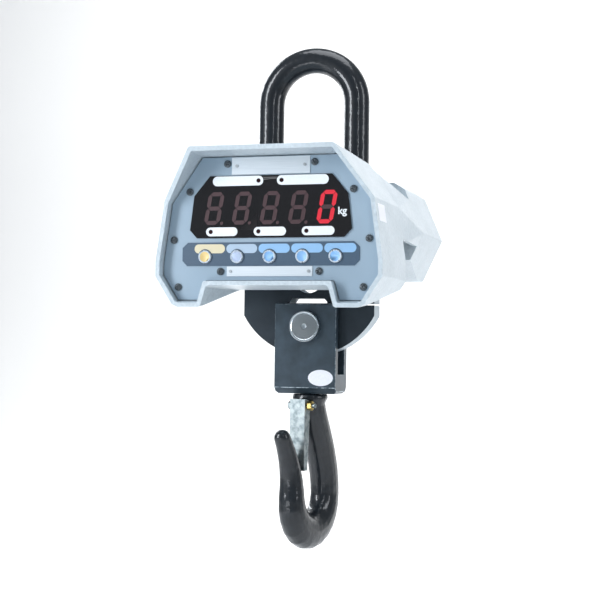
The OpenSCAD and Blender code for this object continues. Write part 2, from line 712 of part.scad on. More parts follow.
module battery_door() color("#2b2d30") at_cell() {
    difference() {
        union() {
            box(-door_w / 2, door_w / 2, door_y, door_y + door_t, door_z0, door_z0 + door_h);
            box(-14, 14, door_y + door_t, door_y + door_t + 3, door_z0 + door_h - 5, door_z0 + door_h);
            rod_x(hinge_d, -knuckle_x, knuckle_x, hinge_y, hinge_z);
            box(-knuckle_x, knuckle_x, door_y + 0.6, door_y + door_t, hinge_z, door_z0 + 1);
        }
        rod_x(hinge_pin_d + 2 * run_fit, -knuckle_x - 1, knuckle_x + 1, hinge_y, hinge_z);
        each_side() box(knuckle_x, knuckle_x + 21, door_y - 1, door_y + 9, door_z0 - 1, hinge_z + 3.9);
    }
}
module door_hinge_pin() color("#b9bcc0") at_cell() {
    rod_x(hinge_pin_d, -knuckle_x - 20, knuckle_x + 20, hinge_y, hinge_z);
}
module charging_socket() color("#17181a") at_cell() {
    y1 = cover_y + rear_cover_t;
    difference() {
        union() {
            rod_y(14, cover_y - 10, y1, socket_at[0], socket_at[1]);
            rod_y(17, y1, y1 + 2.5, socket_at[0], socket_at[1]);
        }
        rod_y(9, y1 - 8, y1 + 3, socket_at[0], socket_at[1]);
        rod_y(1, cover_y - 11, y1 + 3, socket_at[0], socket_at[1]);
    }
}
battery_y0 = seal_y - rear_ledge_t - battery_back_gap - battery[1];
module battery_pack() color("#3a3f47") at_cell() {
    top = shelf_z + battery[2];
    box(-battery[0] / 2, battery[0] / 2, battery_y0, battery_y0 + battery[1], shelf_z, top);
    for (x = [-1, 1]) box(x * 55 - 3, x * 55 + 3, battery_y0 + 6, battery_y0 + 14, top, top + 2);
}
module battery_clamp() color("#8f959a") at_cell() {
    z = shelf_z + 60;
    w = battery[0] / 2 + 0.2;
    difference() {
        box(-w - 1.5, w + 1.5, rear_front_y + rear_wall, battery_y0 + battery[1] + 1.7, z, z + 16);
        box(-w, w, rear_front_y + rear_wall - 1, battery_y0 + battery[1] + 0.2, z - 1, z + 17);
    }
    each_side() box(w - 0.01, w + 9, rear_front_y + rear_wall, rear_front_y + rear_wall + 1.5, z, z + 16);
}

// ---- Lower yoke and thrust bearing ----
pocket_d = 38;
race_d = 35;
race_t = 2.5;
ball_d = 4.96;
ball_gap = 5;
race_bore = shank_d + 1;
race_low_z = slot_floor_z;
race_high_z = race_low_z + race_t + ball_gap;
nut_z = race_high_z + race_t;
nut_h = 10;
module lower_yoke() color("#3a444c") {
    difference() {
        yoke_blank(lower_pin_z + yoke_nose, yoke_base_z, 7.5);
        box(-yoke_w, yoke_w, -slot_w / 2, slot_w / 2, slot_floor_z, lower_pin_z + yoke_nose + 1);
        rod_y(pin_d + 2 * seat_fit, -yoke_d, yoke_d, 0, lower_pin_z);
        translate([0, 0, slot_floor_z]) cylinder(d = pocket_d, h = 24);
        translate([0, 0, yoke_base_z - 1]) cylinder(d = shank_d + 2 * run_fit, h = base_h + 2);
    }
}
module lower_pin() color("#c4c6c8") cross_pin(lower_pin_z);
module lower_pin_ring() color("#4a4d50") cross_pin_ring(lower_pin_z);
module race(z) {
    translate([0, 0, z]) difference() {
        cylinder(d = race_d, h = race_t);
        translate([0, 0, -1]) cylinder(d = race_bore, h = race_t + 2);
    }
}
module bearing_washer_low() color("#a7abaf") race(race_low_z);
module bearing_washer_high() color("#a7abaf") race(race_high_z);
module bearing_balls() color("#c9ccd0") {
    r = (race_d + race_bore) / 4;
    for (a = [0:40:320]) rotate([0, 0, a])
        translate([r, 0, race_low_z + race_t + ball_gap / 2]) sphere(d = ball_d, $fn = 24);
}

// ---- Hook ----
// The hook lies in the plane s, z, with s towards the back before the hook is turned.
bowl_path_r = bowl_r + bowl_t / 2;
collar_z = yoke_base_z - 0.5;
bowl_s = -1;
bowl_z = collar_z - 128;
function bezier(p, t) = pow(1 - t, 3) * p[0] + 3 * pow(1 - t, 2) * t * p[1] + 3 * (1 - t) * t * t * p[2]
    + t * t * t * p[3];
function slope(p, t) = pow(1 - t, 2) * (p[1] - p[0]) + 2 * (1 - t) * t * (p[2] - p[1])
    + t * t * (p[3] - p[2]);
BACK = [[0, collar_z - 13], [6, collar_z - 36], [bowl_s + bowl_path_r, bowl_z + 50],
    [bowl_s + bowl_path_r, bowl_z]];
COLLAR = [[0, collar_d / 2 - 1.5], [1.5, collar_d / 2], [6, collar_d / 2]];
TIP = [[bowl_s - bowl_path_r, bowl_z], [bowl_s - bowl_path_r, bowl_z + 27], [-50, bowl_z + 47],
    [-70, bowl_z + 77]];
// A station is [s, z], its direction, half thickness in the plane and half thickness across it.
STATIONS = concat(
    [for (c = COLLAR) [[0, collar_z - c[0]], [0, -1], c[1], c[1]]],
    [for (k = [0:9]) let (t = k / 10)
        [bezier(BACK, t), unit(slope(BACK, t)), mix(19, 21, t), mix(19, 17, t)]],
    [for (k = [0:12]) let (a = -180 * k / 12, b = sin(-a))
        [[bowl_s, bowl_z] + bowl_path_r * [cos(a), sin(a)], [sin(a), -cos(a)],
            mix(k < 6 ? 21 : 17, bowl_t / 2, b), mix(k < 6 ? 17 : 15.5, 18, b)]],
    [for (k = [1:8]) let (t = k / 8)
        [bezier(TIP, t), unit(slope(TIP, t)), mix(17, 10, t), mix(15.5, 10, t)]],
    [for (a = [30, 60, 85]) let (u = unit(slope(TIP, 1)))
        [bezier(TIP, 1) + 9 * sin(a) * u, u, 10 * cos(a), 10 * cos(a)]]);
function ring_at(st, n) = [for (k = [0:n - 1]) let (a = -360 * k / n, c = cos(a), d = sin(a),
    e = st[2] * sign(c) * pow(abs(c), 0.94), f = st[3] * sign(d) * pow(abs(d), 0.94))
    [f, st[0][0] - st[1][1] * e, st[0][1] + st[1][0] * e]];
module skin(rings) {
    n = len(rings[0]);
    m = len(rings);
    polyhedron(
        points = [for (r = rings) each r],
        faces = concat(
            [for (i = [0:m - 2], k = [0:n - 1]) each [
                [i * n + k, i * n + (k + 1) % n, (i + 1) * n + (k + 1) % n],
                [i * n + k, (i + 1) * n + (k + 1) % n, (i + 1) * n + k]]],
            [[for (k = [n - 1:-1:0]) k]],
            [[for (k = [0:n - 1]) (m - 1) * n + k]]));
}
pivot_s = -25;
pivot_z = collar_z - 14;
latch_t = 1.5;
lug_x0 = -latch_w / 2 + latch_t + loose;
lug_x1 = -1.5;
latch_bolt_d = 6;
module turned() { rotate([0, 0, hook_turn]) children(); }
module hook() color("#191a1c") turned() {
    difference() {
        union() {
            translate([0, 0, collar_z - 5]) cylinder(d = shank_d, h = nut_z + nut_h - collar_z + 5);
            skin([for (st = STATIONS) ring_at(st, 20)]);
            rod_x(12, lug_x0, lug_x1, pivot_s, pivot_z);
            box(lug_x0, lug_x1, pivot_s, -10, pivot_z - 6, pivot_z + 6);
        }
        rod_x(latch_bolt_d + 2 * seat_fit, -12, 0, pivot_s, pivot_z);
        translate([0, 0, nut_z + nut_h / 2]) rotate([90, 0, 0])
            cylinder(d = 3 + 2 * seat_fit, h = 60, center = true);
    }
}
module hook_nut() color("#8e9296") turned() {
    translate([0, 0, nut_z]) difference() {
        cylinder(d = 30 / cos(30), h = nut_h, $fn = 6);
        translate([0, 0, -1]) cylinder(d = shank_d + 2 * seat_fit, h = nut_h + 2);
        translate([0, 0, nut_h / 2]) rotate([90, 0, 0])
            cylinder(d = 3 + 2 * seat_fit, h = 60, center = true);
    }
}
module hook_nut_pin() color("#b9bcc0") turned() {
    rod_y(3, -16, 16, 0, nut_z + nut_h / 2);
}

// ---- Safety latch ----
latch_s = -33;
latch_bottom = pivot_z - 80;
LATCH_SIDE = [[latch_s, pivot_z + 8], [latch_s, latch_bottom], [latch_s + 8, latch_bottom],
    [latch_s + 11, pivot_z - 50], [pivot_s + 5.5, pivot_z - 12], [pivot_s + 6, pivot_z + 2],
    [pivot_s + 3, pivot_z + 6], [pivot_s - 4, pivot_z + 8]];
module latch() color("#a9adab") turned() {
    difference() {
        prism_x(LATCH_SIDE, -latch_w / 2, latch_w / 2);
        box(-latch_w / 2 + latch_t, latch_w / 2 - latch_t, latch_s + latch_t, 0, latch_bottom - 1,
            pivot_z + 20);
        rod_x(latch_bolt_d + 2 * run_fit, -20, 20, pivot_s, pivot_z);
    }
}
latch_nut_x = latch_w / 2 + 0.6;
module latch_bolt() color("#8b7b4e") turned() {
    rod_x(latch_bolt_d, -latch_w / 2 - 0.6, 21, pivot_s, pivot_z);
    translate([-latch_w / 2 - 4.6, pivot_s, pivot_z]) rotate([0, 90, 0])
        cylinder(d = 10 / cos(30), h = 4, $fn = 6);
}
module latch_nut() color("#b79a4f") turned() {
    translate([latch_nut_x, pivot_s, pivot_z]) difference() {
        rotate([0, 90, 0]) cylinder(d = 10 / cos(30), h = 6, $fn = 6);
        rod_x(latch_bolt_d + 2 * seat_fit, -1, 7);
    }
}
spring_wire = 1;
module latch_spring() color("#9a9ea2") turned() {
    r = latch_bolt_d / 2 + 0.4 + spring_wire / 2;
    turns = 4;
    pitch = 1.6;
    steps = 14;
    skin([for (k = [0:turns * steps]) let (a = 360 * k / steps, x = 0.6 + pitch * k / steps)
        [for (j = [0:7]) let (b = 45 * j, q = r + spring_wire / 2 * cos(b))
            [x + spring_wire / 2 * sin(b), pivot_s + q * cos(a), pivot_z + q * sin(a)]]]);
}

shackle();
shackle_pin();
cotter_pin();
upper_yoke();
upper_pin();
upper_pin_ring();
load_cell();
strain_gauges();
cell_cable();
front_standoffs();
front_bolts();
rear_spacers();
rear_bolts();
front_housing();
centre_cover();
cover_screws();
front_panel();
panel_gasket();
panel_screws();
display_window();
digit_modules();
indicator_leds();
display_board();
button_strip();
button_1();
button_2();
button_3();
button_4();
button_5();
button_switches();
name_plate();
rating_plate();
plate_rivets();
main_board();
board_standoffs();
board_screws();
wall_grommets();
power_lead();
battery_box();
rear_cover();
rear_cover_gasket();
rear_cover_screws();
battery_pack();
battery_clamp();
battery_door();
door_hinge_pin();
charging_socket();
lower_yoke();
lower_pin();
lower_pin_ring();
bearing_washer_low();
bearing_balls();
bearing_washer_high();
hook();
hook_nut();
hook_nut_pin();
latch();
latch_bolt();
latch_nut();
latch_spring();
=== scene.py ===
# %% [markdown]
# # A hanging crane scale
# A crane scale hangs from a crane's hook by its shackle and carries the load on its own hook.
# Between them, two pinned yokes pull on a slotted steel disc, and the stretch of that disc is
# read as weight. The imported CAD model already has every part in its real place, so this lesson
# is about finish: softened edges, cast, turned, plated and painted surfaces, a lit display,
# and studio light. First the frame is loaded.

# %% Load the frame
import bpy
import json
import math
from mathutils import Matrix, Vector


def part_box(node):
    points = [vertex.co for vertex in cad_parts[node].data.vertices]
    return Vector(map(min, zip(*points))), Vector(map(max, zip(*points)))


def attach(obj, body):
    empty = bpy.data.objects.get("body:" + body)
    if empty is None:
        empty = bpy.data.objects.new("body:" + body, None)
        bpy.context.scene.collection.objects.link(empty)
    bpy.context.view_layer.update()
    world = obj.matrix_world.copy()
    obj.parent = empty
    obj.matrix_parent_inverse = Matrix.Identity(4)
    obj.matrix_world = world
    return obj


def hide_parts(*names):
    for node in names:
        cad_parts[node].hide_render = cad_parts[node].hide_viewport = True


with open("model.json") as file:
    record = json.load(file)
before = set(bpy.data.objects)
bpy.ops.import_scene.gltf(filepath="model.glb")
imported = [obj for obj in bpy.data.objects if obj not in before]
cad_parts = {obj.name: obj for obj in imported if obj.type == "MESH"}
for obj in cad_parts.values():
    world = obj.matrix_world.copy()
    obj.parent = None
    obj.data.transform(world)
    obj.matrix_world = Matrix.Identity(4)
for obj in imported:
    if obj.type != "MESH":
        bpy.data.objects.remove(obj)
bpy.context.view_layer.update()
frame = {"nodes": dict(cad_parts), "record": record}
nodes = frame["nodes"]
slot_of = {row["node"]: row["material_slot"] for row in frame["record"]["subparts"]}
body_of = {node: body for body, held in frame["record"]["behaviour"]["bodies"].items() for node in held}

# %% [markdown]
# Lengths on the real thing are in millimetres and Blender counts in metres, so one small
# value turns them. Colours are picked as sRGB hex codes, the way paint charts give them,
# but shaders want linear light, so one function turns those too.

# %% Units and colours
MM = 0.001


def linear(code):
    parts = [int(code[i:i + 2], 16) / 255 for i in (1, 3, 5)]
    return tuple(c / 12.92 if c <= 0.04045 else ((c + 0.055) / 1.055) ** 2.4 for c in parts) + (1.0,)


print("a mid grey paint in linear light:", [round(c, 3) for c in linear("#808080")])

# %% [markdown]
# Every finish starts the same way: a Principled shader with the plain values of the real
# material, and object coordinates, so that a pattern keeps its real size and sticks to its
# piece when the piece moves. Detail is then added node by node with one small helper, which
# sets a node's options and either fills or links each of its inputs. Some inputs share a
# name and so are given by number: on a colour Mix node, 0 is the factor, 6 and 7 are the two
# colours, and output 2 is the result.

# %% Helpers for finishes
def new_finish(name, colour, metallic, roughness, **sockets):
    material = bpy.data.materials.new(name)
    material.use_nodes = True
    shader = material.node_tree.nodes["Principled BSDF"]
    shader.inputs["Base Color"].default_value = linear(colour)
    shader.inputs["Metallic"].default_value = metallic
    shader.inputs["Roughness"].default_value = roughness
    for socket, value in sockets.items():
        shader.inputs[socket.replace("_", " ")].default_value = value
    place = add_node(material, "ShaderNodeTexCoord").outputs["Object"]
    return material, shader, place


def add_node(material, kind, inputs=(), **settings):
    node = material.node_tree.nodes.new(kind)
    for setting, value in settings.items():
        setattr(node, setting, value)
    for socket, value in dict(inputs).items():
        if isinstance(value, bpy.types.NodeSocket):
            material.node_tree.links.new(value, node.inputs[socket])
        else:
            node.inputs[socket].default_value = value
    return node


def plug(material, source, shader, socket):
    material.node_tree.links.new(source, shader.inputs[socket])


FINISH = {}

# %% [markdown]
# The housings are aluminium castings sprayed with hammertone enamel. As it dries, the paint
# draws up into small shallow dimples about 3 mm across, so the eye sees a soft mottled sheen
# and never a flat grey. A smooth Voronoi gives the dimples, a wider noise the unevenness of
# the spraying, and a third pattern rubs the colour a little where hands have held it.

# %% Hammertone enamel on the housings
enamel, shader, place = new_finish("hammertone_enamel", "#BFCBD1", 0.0, 0.42, Coat_Weight=0.3,
                                   Coat_Roughness=0.22, IOR=1.5)
dimples = add_node(enamel, "ShaderNodeTexVoronoi", {"Vector": place, "Scale": 1 / (3.2 * MM)},
                   feature="SMOOTH_F1")
spray = add_node(enamel, "ShaderNodeTexNoise", {"Vector": place, "Scale": 1 / (9 * MM), "Detail": 4})
tint = add_node(enamel, "ShaderNodeTexNoise", {"Vector": place, "Scale": 1 / (45 * MM), "Detail": 3})
tint_ramp = add_node(enamel, "ShaderNodeValToRGB", {"Fac": tint.outputs["Fac"]})
tint_ramp.color_ramp.elements[0].position, tint_ramp.color_ramp.elements[1].position = 0.32, 0.68
tint_ramp.color_ramp.elements[0].color = linear("#BAC7CE")
tint_ramp.color_ramp.elements[1].color = linear("#C5D0D7")
fleck = add_node(enamel, "ShaderNodeMapRange", {"Value": dimples.outputs["Distance"], "From Min": 0.1,
                                                "From Max": 0.75, "To Min": 0.93, "To Max": 1.04})
flecked = add_node(enamel, "ShaderNodeMix", {0: 1.0, 6: tint_ramp.outputs["Color"],
                                             7: fleck.outputs["Result"]},
                   data_type="RGBA", blend_type="MULTIPLY")
plug(enamel, flecked.outputs[2], shader, "Base Color")
height = add_node(enamel, "ShaderNodeMath", {0: dimples.outputs["Distance"], 1: spray.outputs["Fac"]},
                  operation="ADD")
relief = add_node(enamel, "ShaderNodeBump", {"Height": height.outputs["Value"], "Strength": 0.75,
                                             "Distance": 0.9 * MM})
plug(enamel, relief.outputs["Normal"], shader, "Normal")
FINISH["housing"] = enamel
print("hammertone dimples", 3.2, "mm")

# %% [markdown]
# The shackle and hook are forged, and then dipped in black enamel. Forging leaves shallow
# lumps some 8 mm across, the thick enamel smooths what is finer, and its clear top layer
# throws hard white streaks. So the base is dark and half matt, the coat is almost a mirror,
# and both carry the lumps.

# %% Black enamel on the forgings
black, shader, place = new_finish("gloss_black_enamel", "#0A1015", 0.0, 0.42, Coat_Weight=0.75,
                                  Coat_Roughness=0.06, IOR=1.5, Specular_IOR_Level=0.25)
lumps = add_node(black, "ShaderNodeTexNoise", {"Vector": place, "Scale": 1 / (8 * MM), "Detail": 2.5,
                                               "Roughness": 0.55})
grit = add_node(black, "ShaderNodeTexNoise", {"Vector": place, "Scale": 1 / (1.6 * MM), "Detail": 2})
both = add_node(black, "ShaderNodeMath", {0: grit.outputs["Fac"], 1: 0.12, 2: lumps.outputs["Fac"]},
                operation="MULTIPLY_ADD")
relief = add_node(black, "ShaderNodeBump", {"Height": both.outputs["Value"], "Strength": 0.5,
                                            "Distance": 0.9 * MM})
plug(black, relief.outputs["Normal"], shader, "Normal")
plug(black, relief.outputs["Normal"], shader, "Coat Normal")
shade = add_node(black, "ShaderNodeValToRGB", {"Fac": lumps.outputs["Fac"]})
shade.color_ramp.elements[0].color, shade.color_ramp.elements[1].color = linear("#060A0F"), linear("#111A22")
plug(black, shade.outputs["Color"], shader, "Base Color")
FINISH["gloss_black_steel"] = black
print("forging lumps", 8, "mm")

# %% [markdown]
# The yokes are milled blocks with a satin black oxide and a thin oil film. Milling leaves
# fine lines about a millimetre apart, stretched along the block, and the oxide is thinner
# on the edges, where bare steel shows through. The lines come from a noise squeezed along
# one axis, and the bright edges are a second finish that the bevels will carry: partly that
# bare steel, and partly a painted highlight along every edge.

# %% Satin black oxide on the yokes
oxide, shader, place = new_finish("satin_black_oxide", "#33404A", 0.35, 0.4, Coat_Weight=0.15,
                                  Coat_Roughness=0.3)
stretch = add_node(oxide, "ShaderNodeMapping", {"Vector": place, "Scale": (1.0, 1.0, 0.06)})
mill = add_node(oxide, "ShaderNodeTexNoise", {"Vector": stretch.outputs["Vector"], "Scale": 1 / (1.2 * MM),
                                              "Detail": 3})
cloud = add_node(oxide, "ShaderNodeTexNoise", {"Vector": place, "Scale": 1 / (22 * MM), "Detail": 4})
shade = add_node(oxide, "ShaderNodeValToRGB", {"Fac": cloud.outputs["Fac"]})
shade.color_ramp.elements[0].position, shade.color_ramp.elements[1].position = 0.3, 0.72
shade.color_ramp.elements[0].color, shade.color_ramp.elements[1].color = linear("#2B3740"), linear("#3D4C57")
plug(oxide, shade.outputs["Color"], shader, "Base Color")
sheen = add_node(oxide, "ShaderNodeMapRange", {"Value": mill.outputs["Fac"], "To Min": 0.33, "To Max": 0.5})
plug(oxide, sheen.outputs["Result"], shader, "Roughness")
relief = add_node(oxide, "ShaderNodeBump", {"Height": mill.outputs["Fac"], "Strength": 0.18,
                                            "Distance": 0.12 * MM})
plug(oxide, relief.outputs["Normal"], shader, "Normal")
FINISH["dark_steel"] = oxide

# Bright steel for the bevels: partly bare steel where the oxide wore, partly a painted highlight along the
# edges.
edge_wear_and_highlight, shader, place = new_finish("worn_steel_edge_and_highlight", "#8E9BA3", 0.9, 0.32)
nicks = add_node(edge_wear_and_highlight, "ShaderNodeTexNoise", {"Vector": place, "Scale": 1 / (4 * MM), "Detail": 4})
shade = add_node(edge_wear_and_highlight, "ShaderNodeValToRGB", {"Fac": nicks.outputs["Fac"]})
shade.color_ramp.elements[0].position, shade.color_ramp.elements[1].position = 0.4, 0.6
shade.color_ramp.elements[0].color, shade.color_ramp.elements[1].color = linear("#4A5861"), linear("#A9B6BD")
plug(edge_wear_and_highlight, shade.outputs["Color"], shader, "Base Color")
print("milling lines", 1.2, "mm apart")

# %% [markdown]
# The disc is turned alloy steel. Its faces are blackened like the yokes, and its rim was
# skimmed last, so it shows bare bright steel. Which is which follows from where a face looks:
# the object normal's Y part is large on the faces and small round the rim, so that number
# mixes the two steels, whatever the camera sees.

# %% Blackened faces and skimmed rim on the disc
disc, shader, place = new_finish("turned_alloy_steel", "#2A343B", 0.5, 0.42)
facing = add_node(disc, "ShaderNodeSeparateXYZ", {"Vector": place.node.outputs["Normal"]})
flat = add_node(disc, "ShaderNodeMath", {0: facing.outputs["Y"]}, operation="ABSOLUTE")
is_rim = add_node(disc, "ShaderNodeMapRange", {"Value": flat.outputs["Value"], "From Min": 0.6,
                                               "From Max": 0.4, "To Min": 0.0, "To Max": 1.0})
smudge = add_node(disc, "ShaderNodeTexNoise", {"Vector": place, "Scale": 1 / (18 * MM), "Detail": 5})
dark = add_node(disc, "ShaderNodeMix", {0: smudge.outputs["Fac"], 6: linear("#1D252C"), 7: linear("#2B353D")},
                data_type="RGBA")
bright = add_node(disc, "ShaderNodeMix", {0: smudge.outputs["Fac"], 6: linear("#8B98A1"), 7: linear("#BAC5CB")},
                  data_type="RGBA")
steel = add_node(disc, "ShaderNodeMix", {0: is_rim.outputs["Result"], 6: dark.outputs[2], 7: bright.outputs[2]},
                 data_type="RGBA")
plug(disc, steel.outputs[2], shader, "Base Color")
squeeze = add_node(disc, "ShaderNodeMapping", {"Vector": place, "Scale": (1.0, 0.05, 1.0)})
cuts = add_node(disc, "ShaderNodeTexNoise", {"Vector": squeeze.outputs["Vector"], "Scale": 1 / (1.5 * MM)})
relief = add_node(disc, "ShaderNodeBump", {"Height": cuts.outputs["Fac"], "Strength": 0.15,
                                           "Distance": 0.12 * MM})
plug(disc, relief.outputs["Normal"], shader, "Normal")
FINISH["cell_steel"] = disc
print("disc finish ready")

# %% [markdown]
# Pins are ground steel, small hardware is zinc plated, and the latch is pressed from plated
# sheet that has dulled in patches. Ground steel is bright with hair-fine lines. Zinc is paler
# and softer, with cloudy spangles a few millimetres wide, so a noise moves both its colour
# and its roughness.

# %% Ground steel and zinc plate
ground, shader, place = new_finish("ground_steel", "#A9B3B9", 1.0, 0.3)
lines = add_node(ground, "ShaderNodeTexNoise", {"Vector": place, "Scale": 1 / (0.9 * MM), "Detail": 3})
blend = add_node(ground, "ShaderNodeMapRange", {"Value": lines.outputs["Fac"], "To Min": 0.22, "To Max": 0.4})
plug(ground, blend.outputs["Result"], shader, "Roughness")
relief = add_node(ground, "ShaderNodeBump", {"Height": lines.outputs["Fac"], "Strength": 0.12,
                                             "Distance": 0.06 * MM})
plug(ground, relief.outputs["Normal"], shader, "Normal")
FINISH["pin_steel"] = ground

zinc, shader, place = new_finish("zinc_plate", "#8E9798", 0.85, 0.42)
spangle = add_node(zinc, "ShaderNodeTexNoise", {"Vector": place, "Scale": 1 / (7 * MM), "Detail": 4,
                                                "Roughness": 0.55})
shade = add_node(zinc, "ShaderNodeValToRGB", {"Fac": spangle.outputs["Fac"]})
shade.color_ramp.elements[0].position, shade.color_ramp.elements[1].position = 0.35, 0.65
shade.color_ramp.elements[0].color, shade.color_ramp.elements[1].color = linear("#667174"), linear("#A6AEAE")
plug(zinc, shade.outputs["Color"], shader, "Base Color")
dull = add_node(zinc, "ShaderNodeMapRange", {"Value": spangle.outputs["Fac"], "To Min": 0.28, "To Max": 0.55})
plug(zinc, dull.outputs["Result"], shader, "Roughness")
relief = add_node(zinc, "ShaderNodeBump", {"Height": spangle.outputs["Fac"], "Strength": 0.2,
                                           "Distance": 0.15 * MM})
plug(zinc, relief.outputs["Normal"], shader, "Normal")
FINISH["zinc_steel"] = zinc
print("spangle", 7, "mm")

# %% [markdown]
# The panel behind the display is aluminium sheet with a blue-grey satin lacquer, and the two
# blank plates riveted to it are brushed and clear coated. Lacquer hides the metal but keeps
# its flatness: only a faint orange peel is left. Brushing runs along the plates, so that
# noise is stretched along X.

# %% Lacquered and brushed aluminium
lacquer, shader, place = new_finish("lacquered_aluminium", "#93A8B8", 0.0, 0.42, Coat_Weight=0.2,
                                    Coat_Roughness=0.3, IOR=1.5)
peel = add_node(lacquer, "ShaderNodeTexNoise", {"Vector": place, "Scale": 1 / (1.4 * MM), "Detail": 2})
relief = add_node(lacquer, "ShaderNodeBump", {"Height": peel.outputs["Fac"], "Strength": 0.12,
                                              "Distance": 0.08 * MM})
plug(lacquer, relief.outputs["Normal"], shader, "Normal")
haze = add_node(lacquer, "ShaderNodeTexNoise", {"Vector": place, "Scale": 1 / (60 * MM), "Detail": 3})
shade = add_node(lacquer, "ShaderNodeMix", {0: haze.outputs["Fac"], 6: linear("#8AA0B1"), 7: linear("#9DB1C0")},
                 data_type="RGBA")
plug(lacquer, shade.outputs[2], shader, "Base Color")
FINISH["panel"] = lacquer

brushed, shader, place = new_finish("brushed_aluminium", "#D3DBE1", 0.35, 0.45)
along = add_node(brushed, "ShaderNodeMapping", {"Vector": place, "Scale": (0.02, 1.0, 1.0)})
strokes = add_node(brushed, "ShaderNodeTexNoise", {"Vector": along.outputs["Vector"], "Scale": 1 / (0.7 * MM),
                                                   "Detail": 2})
shade = add_node(brushed, "ShaderNodeMix", {0: strokes.outputs["Fac"], 6: linear("#C4CED5"),
                                            7: linear("#DEE6EB")}, data_type="RGBA")
plug(brushed, shade.outputs[2], shader, "Base Color")
relief = add_node(brushed, "ShaderNodeBump", {"Height": strokes.outputs["Fac"], "Strength": 0.12,
                                              "Distance": 0.05 * MM})
plug(brushed, relief.outputs["Normal"], shader, "Normal")
FINISH["plate"] = brushed

bare, shader, place = new_finish("turned_aluminium", "#B9C0C4", 1.0, 0.36)
rings = add_node(bare, "ShaderNodeTexNoise", {"Vector": place, "Scale": 1 / (1.1 * MM), "Detail": 2})
blend = add_node(bare, "ShaderNodeMapRange", {"Value": rings.outputs["Fac"], "To Min": 0.28, "To Max": 0.46})
plug(bare, blend.outputs["Result"], shader, "Roughness")
FINISH["alu"] = bare
print("lacquer, brushed and turned aluminium ready")

# %% [markdown]
# The display window is dark tinted acrylic: almost black, very smooth, with the faintest
# ripple from casting. The strip round the buttons is printed film, a little softer, with
# the fine tooth that such film has so that it doesn't glare.

# %% Acrylic window and printed film
acrylic, shader, place = new_finish("dark_acrylic", "#1A191B", 0.0, 0.12, IOR=1.49, Coat_Weight=0.4,
                                    Coat_Roughness=0.04)
ripple = add_node(acrylic, "ShaderNodeTexNoise", {"Vector": place, "Scale": 1 / (30 * MM), "Detail": 1})
relief = add_node(acrylic, "ShaderNodeBump", {"Height": ripple.outputs["Fac"], "Strength": 0.08,
                                              "Distance": 0.2 * MM})
plug(acrylic, relief.outputs["Normal"], shader, "Normal")
FINISH["window"] = acrylic

film, shader, place = new_finish("printed_film", "#42566A", 0.0, 0.36, IOR=1.58)
weave = add_node(film, "ShaderNodeTexNoise", {"Vector": place, "Scale": 1 / (0.9 * MM), "Detail": 1})
shade = add_node(film, "ShaderNodeMix", {0: weave.outputs["Fac"], 6: linear("#3C5064"), 7: linear("#4A6074")},
                 data_type="RGBA")
plug(film, shade.outputs[2], shader, "Base Color")
relief = add_node(film, "ShaderNodeBump", {"Height": weave.outputs["Fac"], "Strength": 0.1,
                                           "Distance": 0.05 * MM})
plug(film, relief.outputs["Normal"], shader, "Normal")
FINISH["strip"] = film
print("window and film ready")

# %% [markdown]
# Buttons are moulded ABS. Their mould was spark eroded, which leaves a fine even texture, and
# light goes a little way into the plastic before it comes back. All keys are one recipe in
# three shades.

# %% Moulded buttons
for slot, code in (("key_yellow", "#E3C886"), ("key_grey", "#B3C2DC"), ("key_blue", "#84B4E4")):
    key, shader, place = new_finish("moulded_abs_" + slot, code, 0.0, 0.35, IOR=1.53,
                                    Subsurface_Weight=0.05, Subsurface_Scale=1.5 * MM)
    spark = add_node(key, "ShaderNodeTexNoise", {"Vector": place, "Scale": 1 / (0.6 * MM), "Detail": 2})
    relief = add_node(key, "ShaderNodeBump", {"Height": spark.outputs["Fac"], "Strength": 0.12,
                                              "Distance": 0.04 * MM})
    plug(key, relief.outputs["Normal"], shader, "Normal")
    uneven = add_node(key, "ShaderNodeMapRange", {"Value": spark.outputs["Fac"], "To Min": 0.3,
                                                  "To Max": 0.42})
    plug(key, uneven.outputs["Result"], shader, "Roughness")
    FINISH[slot] = key
print("finishes so far", sorted(FINISH))

# %% [markdown]
# What is left is plain stuff: black moulded ABS, rubber, glass-epoxy board, brass, the dark
# face of the digit blocks, red lamp lenses, the battery's case and the thin gauge film. None
# is a flat colour: each gets the mottle or grain its real surface has.

# %% The plainer finishes
PLAIN = {
    "black_plastic": ("moulded_black_abs", "#26282B", "#303337", 0.0, 0.45, 1.53, 0.8, 0.06),
    "rubber": ("moulded_rubber", "#1D1E1F", "#2A2B2C", 0.0, 0.7, 1.52, 1.5, 0.08),
    "board": ("glass_epoxy_board", "#1F5A36", "#2E6F45", 0.0, 0.35, 1.55, 1.2, 0.05),
    "brass": ("dull_brass", "#A08A4E", "#CDB470", 1.0, 0.34, 1.5, 5.0, 0.05),
    "led_plastic": ("digit_block_abs", "#201818", "#2A2020", 0.0, 0.5, 1.53, 1.0, 0.04),
    "red_lens": ("dark_red_epoxy_lens", "#22090C", "#330E12", 0.0, 0.2, 1.55, 3.0, 0.03),
    "battery": ("battery_case_abs", "#363C44", "#434A53", 0.0, 0.48, 1.53, 1.5, 0.08),
    "gauge_film": ("polyimide_film", "#A86A24", "#C98536", 0.0, 0.3, 1.7, 0.8, 0.02),
}
for slot, (name, low, high, metallic, roughness, ior, grain_mm, depth_mm) in PLAIN.items():
    stuff, shader, place = new_finish(name, low, metallic, roughness)
    if not metallic:
        shader.inputs["IOR"].default_value = ior
    grain = add_node(stuff, "ShaderNodeTexNoise", {"Vector": place, "Scale": 1 / (grain_mm * MM), "Detail": 3})
    shade = add_node(stuff, "ShaderNodeMix", {0: grain.outputs["Fac"], 6: linear(low), 7: linear(high)},
                     data_type="RGBA")
    plug(stuff, shade.outputs[2], shader, "Base Color")
    relief = add_node(stuff, "ShaderNodeBump", {"Height": grain.outputs["Fac"], "Strength": 0.2,
                                                "Distance": depth_mm * MM})
    plug(stuff, relief.outputs["Normal"], shader, "Normal")
    FINISH[slot] = stuff
print("slots without a finish:", sorted(set(slot_of.values()) - set(FINISH)))

